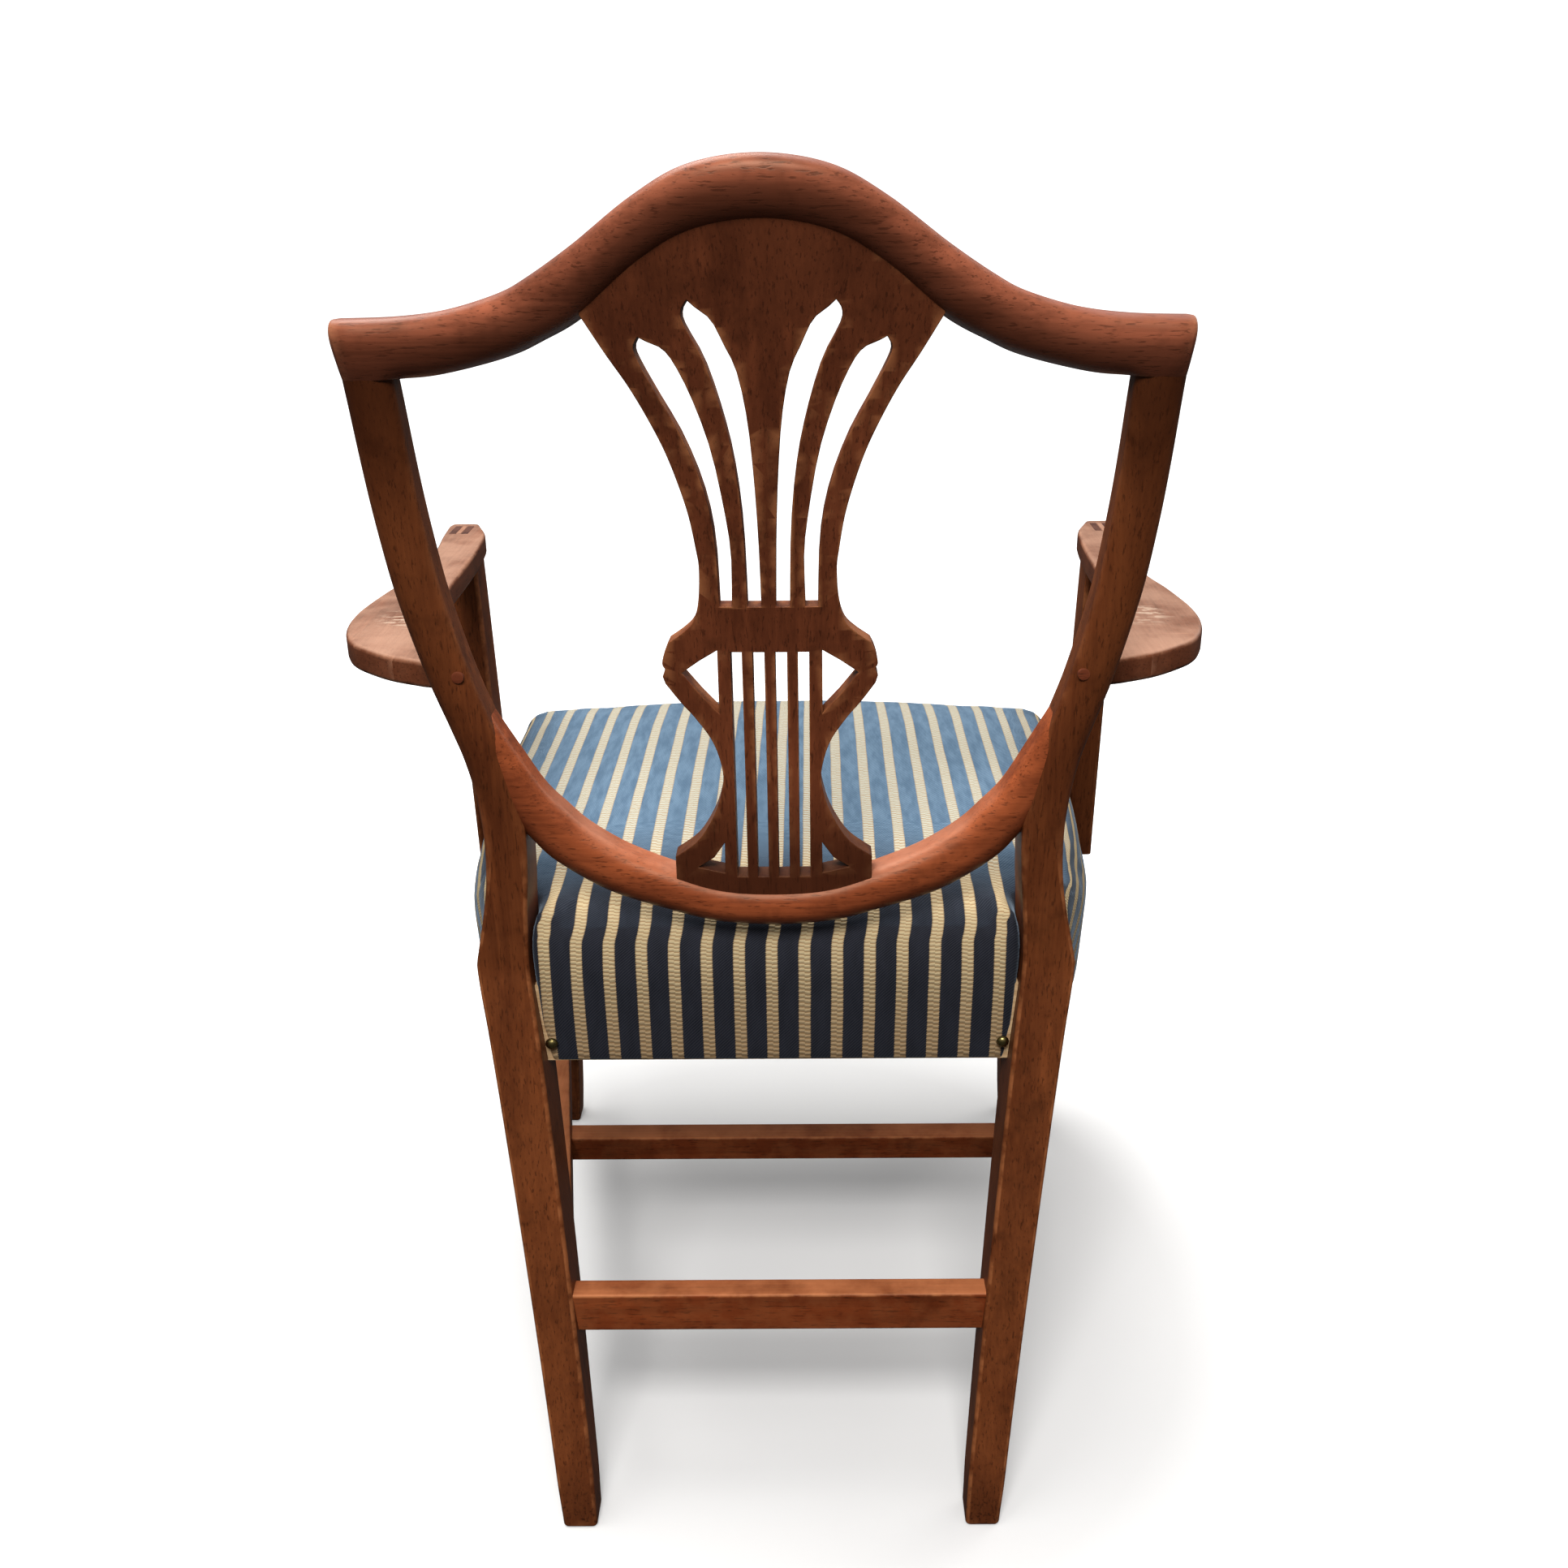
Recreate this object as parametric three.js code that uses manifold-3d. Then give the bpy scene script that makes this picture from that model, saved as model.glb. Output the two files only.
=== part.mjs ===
// A mahogany armchair with a shield back and an over-upholstered seat, in millimetres, +Z up.
// The sitter faces -Y. While the pieces are made, y = 0 is the back of the rear legs at the knee.
import * as THREE from 'three';
import { mergeVertices } from 'three/addons/utils/BufferGeometryUtils.js';
import Module from 'manifold-3d';

const wasm = await Module();
wasm.setup();

// Clearances: between touching pieces, and how far a cutting shape runs past what it cuts.
const fitGap = 0.3;
const cutOverrun = 4;

// Heights above the floor
const seatBottom = 355;
const kneeHeight = 434;
const crestJointHeight = 843;
const crestThickness = 34;
const crestRiseHeight = 83;

// Half widths of the back frame, to the outside of each rear leg
const rearFootHalfWidth = 166.5;
const kneeHalfWidth = 213;
const neckHalfWidth = 199;
const earHalfWidth = 244.4;

// Rear leg and stile sections
const rearFootWidth = 27;
const kneeWidth = 37.5;
const neckWidth = 29;
const stileWidth = 30;
const rearFootDepth = 26;
const kneeDepth = 46;
const neckDepth = 34;
const stileDepth = 28;
const stileTopDepth = 22;
const stileTopSetback = 4;
const legEdgeRadius = 3;
const stileRoundWidth = 9;
const stileRoundDepth = 6;
const frontEdgeRadius = 2;

// The rake of the legs and the curve of the back, seen from the side and from above
const rearFootRakeDepth = 88;
const backRadius = 1600;
const backBowDepth = 15;
const bowHalfWidth = 190;

// The crest, lower rail and splat
const crestDepth = 27;
const crestRoundDepth = 11;
const crestEndChamfer = 1;
const lowerRailOverSeat = 1;
const neckOverLowerRail = 64;
const lowerRailThickness = 29;
const lowerRailDepth = 26;
const lowerRailRoundDepth = 10;
const lowerRailSetback = 2;
const splatHalfWidth = 101.5;
const splatThickness = 17;
const splatSetback = 6;
const splatTongue = 8;

// Seat frame
const seatRailHeight = 62;
const seatRailThickness = 24;
const seatFrameDepth = 461.5;
const frontHalfWidth = 262;
const rearRailSetback = 6;
const frontLegTop = 42;
const frontLegFoot = 28;
const tenonThickness = 10;
const tenonLength = 14;
const tenonShoulder = 10;
const cornerBlockReach = 72;
const cornerBlockHeight = 40;

// Stretchers
const rearStretcherUnderside = 148;
const sideStretcherUnderside = 138;
const stretcherHeight = 33;
const stretcherThickness = 18;
const rearStretcherSetback = 5.5;
const medialStretcherUnderside = 142.5;
const medialStretcherHeight = 23.5;
const medialStretcherDepth = 22;
const medialStretcherPlace = 172;
const stretcherTenonThickness = 8;
const stretcherTenonShoulder = 6;

// Arms and posts
const armRearHeight = 657;
const armRiseHeight = 19;
const armThickness = 19;
const armEdgeRadius = 3;
const armHalfSpan = 309;
const armFrontSetback = 57.5;
const armReach = seatFrameDepth - armFrontSetback;
const armHeelWidth = 26;
const postWidthFoot = 30;
const postWidthTop = 27;
const postDepthFoot = 36;
const postDepthTop = 34;
const postSetback = 27;
const postSweepDepth = 8;
const postEdgeRadius = 4;
const postTenonWidth = 17;
const postTenonDepth = 28;
const wedgeThickness = 4.5;
const wedgeTip = 1;
const wedgeDepth = 15;
const plugDiameter = 8;
const plugThickness = 5;
const plugDrop = 2;
const plugInset = 7;
const plugHeight = armRearHeight - plugDrop;
const armScrewDiameter = 5;
const armScrewLength = 52;
const armScrewDrop = 8;
const armScrewSplay = 18;

// Upholstery
const coverThickness = 2.5;
const coverBulgeDepth = 3;
const rearEdgeHeight = 115;
const frontEdgeHeight = 124;
const frontArchHeight = 15;
const seatCrownHeight = 15;
const lowerRailHeight = seatBottom + rearEdgeHeight + lowerRailOverSeat;
const neckHeight = lowerRailHeight + neckOverLowerRail;
const webbingWidth = 50;
const webbingThickness = 1.2;
const baseClothThickness = 1;
const dustClothThickness = 0.8;
const dustClothInset = 8;
const padInset = 6;

// Small fixings
const screwShank = 4;
const screwHead = 8;
const screwHeadHeight = 2.5;
const blockScrewLength = 26;
const postScrewLength = 46;
const postScrewSpacing = 30;
const nailHead = 9;
const nailDome = 3.5;
const nailShank = 2;
const nailLength = 13;
const nailHalfSpan = 164;
const nailHeight = 17;

const colours = {
  mahogany: { color: 0x7a4222, roughness: 0.42, metalness: 0 },
  darkMahogany: { color: 0x54281a, roughness: 0.42, metalness: 0 },
  paleWood: { color: 0xa87a5a, roughness: 0.5, metalness: 0 },
  beech: { color: 0xc2a070, roughness: 0.7, metalness: 0 },
  stripes: { color: 0x5e83b0, roughness: 0.9, metalness: 0 },
  jute: { color: 0xa98c5d, roughness: 0.95, metalness: 0 },
  wadding: { color: 0xe6dfd0, roughness: 1, metalness: 0 },
  blackCloth: { color: 0x24211f, roughness: 0.95, metalness: 0 },
  steel: { color: 0x8f8f8d, roughness: 0.4, metalness: 1 },
  brass: { color: 0xa98a48, roughness: 0.35, metalness: 1 },
};

const chair = new THREE.Group();

function addPiece(name, geometry, finish) {
  const mesh = new THREE.Mesh(geometry, new THREE.MeshStandardMaterial(finish));
  mesh.name = name;
  chair.add(mesh);
  return mesh;
}

// Solids and cuts
function mirrored(geometry) {
  const copy = geometry.clone();
  copy.scale(-1, 1, 1);
  return facingOut(copy);
}

function signedVolume(geometry) {
  const place = geometry.attributes.position;
  const a = new THREE.Vector3();
  const b = new THREE.Vector3();
  const c = new THREE.Vector3();
  let sum = 0;
  for (let i = 0; i < geometry.index.count; i += 3) {
    a.fromBufferAttribute(place, geometry.index.getX(i));
    b.fromBufferAttribute(place, geometry.index.getX(i + 1));
    c.fromBufferAttribute(place, geometry.index.getX(i + 2));
    sum += a.dot(b.cross(c));
  }
  return sum;
}

function facingOut(geometry) {
  if (signedVolume(geometry) > 0) return geometry;
  const turned = Array.from(geometry.index.array);
  for (let i = 0; i < turned.length; i += 3) {
    [turned[i], turned[i + 1]] = [turned[i + 1], turned[i]];
  }
  geometry.setIndex(turned);
  return geometry;
}

// One closed body with shared vertices
function closed(geometry) {
  const plain = geometry.clone();
  plain.deleteAttribute('normal');
  plain.deleteAttribute('uv');
  return facingOut(mergeVertices(plain));
}

function toManifold(geometry) {
  const body = closed(geometry);
  return new wasm.Manifold(new wasm.Mesh({
    numProp: 3,
    vertProperties: new Float32Array(body.attributes.position.array),
    triVerts: new Uint32Array(body.index.array),
  }));
}

function fromManifold(solid) {
  const mesh = solid.getMesh();
  const geometry = new THREE.BufferGeometry();
  geometry.setAttribute('position', new THREE.BufferAttribute(mesh.vertProperties, mesh.numProp));
  geometry.setIndex(new THREE.BufferAttribute(mesh.triVerts, 1));
  return geometry;
}

function cut(geometry, ...tools) {
  let solid = toManifold(geometry);
  for (const tool of tools) solid = solid.subtract(toManifold(tool));
  return fromManifold(solid);
}

function join(geometry, ...others) {
  let solid = toManifold(geometry);
  for (const other of others) solid = solid.add(toManifold(other));
  return fromManifold(solid);
}

// A closed body through rings that have equally many points, each end closed round its middle
function loft(rings) {
  const count = rings[0].length;
  const points = rings.flat();
  const index = [];
  for (let r = 0; r + 1 < rings.length; r += 1) {
    for (let i = 0; i < count; i += 1) {
      const a = r * count + i;
      const b = r * count + ((i + 1) % count);
      index.push(a, b, b + count, a, b + count, a + count);
    }
  }
  for (const [ring, first, flip] of [[rings[0], 0, false], [rings.at(-1), points.length - count, true]]) {
    const middle = ring.reduce((sum, p) => sum.add(p), new THREE.Vector3()).divideScalar(count);
    const centre = points.push(middle) - 1;
    for (let i = 0; i < count; i += 1) {
      const a = first + i;
      const b = first + ((i + 1) % count);
      index.push(centre, flip ? a : b, flip ? b : a);
    }
  }
  const geometry = new THREE.BufferGeometry().setFromPoints(points);
  geometry.setIndex(index);
  return closed(geometry);
}

// A box from its lowest to its highest corner
function block(low, high) {
  const size = high.map((value, axis) => value - low[axis]);
  const box = new THREE.BoxGeometry(...size);
  box.translate(...low.map((value, axis) => value + size[axis] / 2));
  return closed(box);
}

// A plan outline, a list of [x, y], raised from one height to another
function plate(outline, bottom, top) {
  const shape = new THREE.Shape(outline.map(([x, y]) => new THREE.Vector2(x, y)));
  const slab = new THREE.ExtrudeGeometry(shape, { depth: top - bottom, bevelEnabled: false });
  slab.translate(0, 0, bottom);
  return closed(slab);
}

// Splits the edges of a closed body until none is longer than a limit, so that it can be bent
function finer(geometry, longest) {
  let body = closed(geometry);
  for (;;) {
    const place = body.attributes.position;
    const points = [];
    for (let i = 0; i < place.count; i += 1) points.push(new THREE.Vector3().fromBufferAttribute(place, i));
    const middles = new Map();
    const middleOf = (a, b) => {
      if (points[a].distanceTo(points[b]) <= longest) return -1;
      const key = a < b ? `${a}-${b}` : `${b}-${a}`;
      if (!middles.has(key)) middles.set(key, points.push(points[a].clone().lerp(points[b], 1 / 2)) - 1);
      return middles.get(key);
    };
    const index = [];
    const old = body.index.array;
    for (let i = 0; i < old.length; i += 3) {
      const corners = [old[i], old[i + 1], old[i + 2]];
      const halves = corners.map((corner, k) => middleOf(corner, corners[(k + 1) % 3]));
      const ring = corners.flatMap((corner, k) => (halves[k] < 0 ? [corner] : [corner, halves[k]]));
      const start = halves.every((half) => half >= 0) ? -1 : halves.findIndex((half) => half >= 0);
      if (start < 0 && ring.length > 3) {
        index.push(...halves);
        corners.forEach((corner, k) => index.push(corner, halves[k], halves[(k + 2) % 3]));
      } else {
        const first = start < 0 ? 0 : ring.indexOf(halves[start]);
        for (let k = 1; k + 1 < ring.length; k += 1) {
          index.push(ring[first], ring[(first + k) % ring.length], ring[(first + k + 1) % ring.length]);
        }
      }
    }
    if (middles.size === 0) return body;
    body = new THREE.BufferGeometry().setFromPoints(points);
    body.setIndex(index);
  }
}

// A smooth run of points through a few chosen ones
function smooth(points, steps) {
  return new THREE.SplineCurve(points.map(([x, y]) => new THREE.Vector2(x, y)))
    .getPoints(steps)
    .map((p) => [p.x, p.y]);
}

// The value at one place of rows of [place, value], straight between rows
function along(rows, place) {
  const last = rows.length - 1;
  const k = Math.min(Math.max(rows.findIndex((row) => row[0] >= place), 1), last);
  const next = place > rows[last][0] ? last : k;
  const [x0, y0] = rows[next - 1];
  const [x1, y1] = rows[next];
  return y0 + ((y1 - y0) * (place - x0)) / (x1 - x0);
}

// One section as [across, deep] points: rounded towards the back, with eased front corners
const arcSteps = 3;
function section(width, depth, roundWidth, roundDepth, ease, grow) {
  const ring = [];
  const corner = (acrossCentre, deepCentre, radiusAcross, radiusDeep, start, steps) => {
    for (let i = 0; i <= steps; i += 1) {
      const angle = (start + i / steps) * (Math.PI / 2);
      const across = acrossCentre + Math.cos(angle) * (radiusAcross + grow);
      const deep = deepCentre - Math.sin(angle) * (radiusDeep + grow);
      ring.push([across, deep]);
    }
  };
  corner(width - roundWidth, roundDepth, roundWidth, roundDepth, 0, arcSteps);
  corner(roundWidth, roundDepth, roundWidth, roundDepth, 1, arcSteps);
  corner(ease, depth - ease, ease, ease, 2, 1);
  corner(width - ease, depth - ease, ease, ease, 3, 1);
  return ring;
}

// The curved surface that the back of the chair follows
const rakeStraightShare = 0.67;
function rearArc(z) {
  if (z > kneeHeight) return (z - kneeHeight) ** 2 / (2 * backRadius);
  const drop = (kneeHeight - z) / kneeHeight;
  return rearFootRakeDepth * (rakeStraightShare * drop + (1 - rakeStraightShare) * drop * drop);
}

function rearSurface(x, z) {
  const reach = Math.min(Math.abs(x) / bowHalfWidth, 1);
  return rearArc(z) + backBowDepth * (1 - reach * reach) ** 2;
}

// Rear leg: its outer edge as shares of the way from knee to neck, and from neck to ear.
// Each row is [height share, outer edge share, width share].
const kneeToNeckShares = [[0, 1, 1], [0.12, 0.86, 0.8], [0.41, 0.41, 0.24], [0.67, 0.1, 0]];
const neckToEarShares = [
  [0, 0, 0], [0.1, 0.056, 0], [0.19, 0.168, 0], [0.26, 0.3, 0], [0.38, 0.533, 0],
  [0.56, 0.79, 0.4], [0.7, 0.904, 0.7], [0.83, 0.964, 0.8], [1, 1, 1],
];
const straightLegShares = [0, 0.3, 0.6, 0.88];
const legRows = [];
for (const share of straightLegShares) {
  legRows.push(new THREE.Vector3(
    THREE.MathUtils.lerp(rearFootHalfWidth, kneeHalfWidth, share),
    THREE.MathUtils.lerp(rearFootWidth, kneeWidth, share),
    kneeHeight * share,
  ));
}
for (const [rise, out, wide] of kneeToNeckShares) {
  legRows.push(new THREE.Vector3(
    THREE.MathUtils.lerp(neckHalfWidth, kneeHalfWidth, out),
    THREE.MathUtils.lerp(neckWidth, kneeWidth, wide),
    THREE.MathUtils.lerp(kneeHeight, neckHeight, rise),
  ));
}
for (const [rise, out, wide] of neckToEarShares) {
  legRows.push(new THREE.Vector3(
    THREE.MathUtils.lerp(neckHalfWidth, earHalfWidth, out),
    THREE.MathUtils.lerp(neckWidth, stileWidth, wide),
    THREE.MathUtils.lerp(neckHeight, crestJointHeight, rise),
  ));
}
const stileTop = crestJointHeight + crestRoundDepth;
legRows.push(new THREE.Vector3(earHalfWidth, legRows.at(-1).y, stileTop));
const legCurve = new THREE.CatmullRomCurve3(legRows);
const legStations = 40;
const legSamples = legCurve.getPoints(legStations);

const legDepths = [
  [0, rearFootDepth], [kneeHeight, kneeDepth], [neckHeight, neckDepth],
  [armRearHeight, stileDepth], [crestJointHeight, stileTopDepth],
];
const stileRoundShares = [0.5, 0.2];
const stileRoundStart = THREE.MathUtils.lerp(kneeHeight, neckHeight, stileRoundShares[0]);
const stileRoundEnd = THREE.MathUtils.lerp(neckHeight, crestJointHeight, stileRoundShares[1]);

// The rear leg's faces at one height
function legAt(z) {
  const outerRows = legSamples.map((p) => [p.z, p.x]);
  const widthRows = legSamples.map((p) => [p.z, p.y]);
  const outer = along(outerRows, z);
  const setback = stileTopSetback * THREE.MathUtils.smoothstep(z, armRearHeight, crestJointHeight);
  const rear = rearArc(z) - setback;
  return { outer, inner: outer - along(widthRows, z), rear, front: rear - along(legDepths, z) };
}

function rearLegBody(grow) {
  const rings = legSamples.map((sample) => {
    const at = legAt(sample.z);
    const rounding = THREE.MathUtils.smoothstep(sample.z, stileRoundStart, stileRoundEnd);
    const ring = section(
      at.outer - at.inner,
      at.rear - at.front,
      THREE.MathUtils.lerp(legEdgeRadius, stileRoundWidth, rounding),
      THREE.MathUtils.lerp(legEdgeRadius, stileRoundDepth, rounding),
      frontEdgeRadius,
      grow,
    );
    return ring.map(([across, deep]) => new THREE.Vector3(at.outer - across, at.rear - deep, sample.z));
  });
  return loft(rings);
}

// A member of the shield, between an upper and a lower outline of [x, z] points
function shieldMember(upper, lower, depth, roundDepth, setback, roundShare, grow, endEase) {
  const last = upper.length - 1;
  const rings = upper.map(([x1, z1], i) => {
    const [x0, z0] = lower[i];
    const ease = i === 0 || i === last ? endEase : 0;
    const width = Math.hypot(x1 - x0, z1 - z0);
    const clear = width - 2 * ease;
    const ring = section(
      clear, depth - 2 * ease, clear * roundShare, roundDepth - ease, frontEdgeRadius, grow,
    );
    return ring.map(([across, deep]) => {
      const share = (across + ease) / width;
      const x = THREE.MathUtils.lerp(x0, x1, share);
      const z = THREE.MathUtils.lerp(z0, z1, share);
      return new THREE.Vector3(x, rearSurface(x, z) - setback - deep - ease, z);
    });
  });
  return loft(rings);
}

function bothHalves(half) {
  const other = half.slice(1).map(([x, z]) => [-x, z]).reverse();
  return [...other, ...half];
}

// Crest rail: upper and lower outlines as shares of the ear's half width and of the rise
const crestUpperShares = [
  [0, 1], [0.153, 0.937], [0.278, 0.754], [0.419, 0.467], [0.529, 0.267], [0.603, 0.162],
  [0.728, 0.059], [0.855, 0.012], [1, 0],
];
const crestLowerShares = [
  [0, 1], [0.153, 0.93], [0.278, 0.732], [0.415, 0.412], [0.514, 0.256], [0.603, 0.146],
  [0.757, 0.036], [0.865, 0.006], [1, 0],
];
const crestSteps = 36;
const crestHalfWidth = earHalfWidth + crestEndChamfer;
function crestOutline(shares, base) {
  const points = bothHalves(shares)
    .map(([out, rise]) => [out * crestHalfWidth, base + rise * crestRiseHeight]);
  return smooth(points, crestSteps);
}
const crestUpper = crestOutline(crestUpperShares, crestJointHeight + crestThickness);
const crestLower = crestOutline(crestLowerShares, crestJointHeight);
const crestRoundShare = 0.46;
function crestBody(grow) {
  return shieldMember(
    crestUpper, crestLower, crestDepth, crestRoundDepth, 0, crestRoundShare, grow, crestEndChamfer,
  );
}

// Lower rail of the shield: pairs of upper and lower points, [x share, z share] of the neck's
// half width and of the height from the rail's underside to its junction with the stiles
const lowerRailRise = neckHeight - lowerRailHeight;
const railLowerShares = [
  [0, 0], [0.2, 0.035], [0.37, 0.155], [0.58, 0.35], [0.755, 0.67], [0.84, 0.94], [0.895, 1.19],
  [0.93, 1.4], [0.97, 1.72],
];
const railUpperShares = [
  [0, 0], [0.18, 0.035], [0.335, 0.175], [0.51, 0.385], [0.64, 0.63], [0.715, 0.85], [0.79, 1.11],
  [0.868, 1.54], [0.955, 2.05],
];
const railSteps = 30;
function railOutline(shares, lift) {
  const points = bothHalves(shares)
    .map(([out, rise]) => [out * neckHalfWidth, lowerRailHeight + lift + rise * lowerRailRise]);
  return smooth(points, railSteps);
}
const railUpper = railOutline(railUpperShares, lowerRailThickness);
const railLower = railOutline(railLowerShares, 0);
const railRoundShare = 0.4;
const railPlan = [lowerRailDepth, lowerRailRoundDepth, lowerRailSetback, railRoundShare];
const lowerRailBody = shieldMember(railUpper, railLower, ...railPlan, 0, 0);

// Splat: half of its outline from the foot to the crest, as shares of its half width and height
const splatFoot = lowerRailHeight + lowerRailThickness - lowerRailSetback;
const splatHeadShare = 0.42;
const splatHeight = crestJointHeight + crestRiseHeight * splatHeadShare - splatFoot;
const footShares = [[0.66, 0.07], [0.5, 0.105], [0.39, 0.155], [0.335, 0.2], [0.321, 0.24], [0.375, 0.295],
  [0.48, 0.34], [0.58, 0.373], [0.665, 0.405]];
const notchShares = [[0.68, 0.418], [0.662, 0.43], [0.678, 0.441], [0.66, 0.462], [0.63, 0.48]];
const shoulderShares = [[0.63, 0.48], [0.53, 0.5], [0.465, 0.52], [0.43, 0.555], [0.417, 0.61], [0.43, 0.643],
  [0.463, 0.698], [0.515, 0.75], [0.581, 0.802], [0.666, 0.852], [0.764, 0.901], [0.877, 0.948], [1, 1.003]];
const outerSlotShares = [
  [[0.302, 0.545], [0.314, 0.658], [0.367, 0.742], [0.474, 0.823], [0.605, 0.89], [0.692, 0.936],
    [0.716, 0.957], [0.687, 0.972]],
  [[0.687, 0.972], [0.637, 0.965], [0.555, 0.955], [0.489, 0.931], [0.402, 0.879], [0.314, 0.804],
    [0.253, 0.713], [0.22, 0.636], [0.226, 0.545]],
];
const innerSlotShares = [
  [[0.13, 0.545], [0.142, 0.68], [0.181, 0.784], [0.243, 0.864], [0.329, 0.939], [0.426, 0.989],
    [0.438, 1.009], [0.404, 1.024]],
  [[0.404, 1.024], [0.358, 1.013], [0.278, 0.996], [0.213, 0.961], [0.148, 0.922], [0.099, 0.852],
    [0.071, 0.763], [0.053, 0.658], [0.045, 0.545]],
];
const lowSlotSideShares = [[0.034, 0.107], [0.175, 0.245]];
const lowSlotHeightShares = [0.033, 0.464];
const upperTriangleShares = [[0.328, 0.467], [0.33, 0.352], [0.44, 0.385], [0.557, 0.425], [0.44, 0.448]];
const lowerTriangleShares = [[0.325, 0.1], [0.328, 0.04], [0.508, 0.05], [0.4, 0.07]];

function splatPoint([out, rise]) {
  return [out * splatHalfWidth, splatFoot + rise * splatHeight];
}

// The foot of the splat runs down into the rail, and its head runs up into the crest
const splatEdgeSteps = 20;
const headSteps = 8;
function splatOutline(grow) {
  const crestAt = (x) => along(crestLower, x);
  const footDrop = splatPoint([footShares[0][0], 0]);
  const railAt = along(railUpper, footDrop[0]);
  const half = [
    [0, splatFoot - splatTongue - grow],
    [footDrop[0] / 2, splatFoot - splatTongue - grow],
    [footDrop[0] + grow, railAt - splatTongue - grow],
    ...smooth(footShares.map(splatPoint), splatEdgeSteps).map(([x, z]) => [x + grow, z]),
    ...notchShares.map(splatPoint).map(([x, z]) => [x + grow, z]),
    ...smooth(shoulderShares.map(splatPoint), splatEdgeSteps).slice(1).map(([x, z]) => [x + grow, z]),
  ];
  const [headX] = half.at(-1);
  half.push([headX, crestAt(headX) + splatTongue + grow]);
  for (let i = headSteps - 1; i >= 0; i -= 1) {
    const x = (headX * i) / headSteps;
    half.push([x, crestAt(x) + splatTongue + grow]);
  }
  const other = half.slice(1, -1).map(([x, z]) => [-x, z]).reverse();
  return [...half, ...other];
}

const slotSteps = 10;
const lowSlotSteps = 5;
function splatHoles() {
  const holes = [];
  for (const [outerSide, innerSide] of [outerSlotShares, innerSlotShares]) {
    holes.push([
      ...smooth(outerSide.map(splatPoint), slotSteps),
      ...smooth(innerSide.map(splatPoint), slotSteps).slice(1),
    ]);
  }
  const [low, high] = lowSlotHeightShares;
  for (const [near, far] of lowSlotSideShares) {
    const up = [];
    const down = [];
    for (let i = 0; i <= lowSlotSteps; i += 1) {
      up.push(splatPoint([far, THREE.MathUtils.lerp(low, high, i / lowSlotSteps)]));
      down.push(splatPoint([near, THREE.MathUtils.lerp(high, low, i / lowSlotSteps)]));
    }
    holes.push([...up, ...down]);
  }
  holes.push(upperTriangleShares.map(splatPoint), lowerTriangleShares.map(splatPoint));
  const mirroredHoles = holes.map((hole) => hole.map(([x, z]) => [-x, z]).reverse());
  return [...holes, ...mirroredHoles];
}

// The flat panel is pierced first, and then bent to the curve of the back
const splatLongestEdge = 45;
function splatBody(grow, holes) {
  const thickness = splatThickness + 2 * grow;
  const openings = holes.map((hole) => plate(hole, -cutOverrun, thickness + cutOverrun));
  const panel = finer(cut(plate(splatOutline(grow), 0, thickness), ...openings), splatLongestEdge);
  const place = panel.attributes.position;
  for (let i = 0; i < place.count; i += 1) {
    const x = place.getX(i);
    const z = place.getY(i);
    place.setXYZ(i, x, rearSurface(x, z) - splatSetback + grow - place.getZ(i), z);
  }
  return closed(panel);
}

// Tenons of the back frame
const backTenonWidth = 14;
const backTenonHeight = 16;
const railTenonHeight = 24;
const joint = legAt(crestJointHeight);
function stileTenon(grow) {
  const middleX = (joint.outer + joint.inner) / 2;
  const middleY = (joint.rear + joint.front) / 2;
  return block(
    [middleX - backTenonWidth / 2 - grow, middleY - tenonThickness / 2 - grow, crestJointHeight - cutOverrun],
    [middleX + backTenonWidth / 2 + grow, middleY + tenonThickness / 2 + grow,
      crestJointHeight + backTenonHeight + grow],
  );
}

const railJunctionShare = 0.12;
const railJunctionHeight = THREE.MathUtils.lerp(neckHeight, crestJointHeight, railJunctionShare);
const junction = legAt(railJunctionHeight);
function lowerRailTenon(grow) {
  const middleY = junction.rear - lowerRailSetback - lowerRailDepth / 2;
  return block(
    [junction.inner - cutOverrun - grow, middleY - tenonThickness / 2 - grow,
      railJunctionHeight - railTenonHeight / 2 - grow],
    [junction.inner + tenonLength + grow, middleY + tenonThickness / 2 + grow,
      railJunctionHeight + railTenonHeight / 2 + grow],
  );
}

// Front legs: square, tapered on their two inner faces
const seatFrameTop = seatBottom + seatRailHeight;
function frontLegSize(z) {
  return THREE.MathUtils.lerp(frontLegFoot, frontLegTop, Math.min(z / seatBottom, 1));
}
function frontLegBody(grow) {
  const rings = [0, seatBottom, seatFrameTop].map((z) => {
    const size = frontLegSize(z);
    const ring = section(size, size, legEdgeRadius, legEdgeRadius, legEdgeRadius, grow);
    return ring.map(([across, deep]) => (
      new THREE.Vector3(frontHalfWidth - across, -seatFrameDepth + size - deep, z)
    ));
  });
  return loft(rings);
}

// Plan of the seat's wooden side, from the rear leg to the front, as [forward share, outward share]
const sideShares = [[0, 0], [0.06, 0.17], [0.13, 0.38], [0.225, 0.59], [0.33, 0.74], [0.48, 0.87],
  [0.66, 0.95], [0.88, 1], [1, 1]];
const sideStart = legAt(seatFrameTop);
const sideStartHalfWidth = sideStart.outer - frontEdgeRadius;
const sideSteps = 12;
const sideCurve = smooth(sideShares.map(([forward, out]) => [
  THREE.MathUtils.lerp(sideStartHalfWidth, frontHalfWidth, out),
  THREE.MathUtils.lerp(sideStart.front, -seatFrameDepth, forward),
]), sideSteps);
const sideRows = sideCurve.map(([x, y]) => [-y, x]);
function sideAt(y) {
  return along(sideRows, -y);
}

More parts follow.
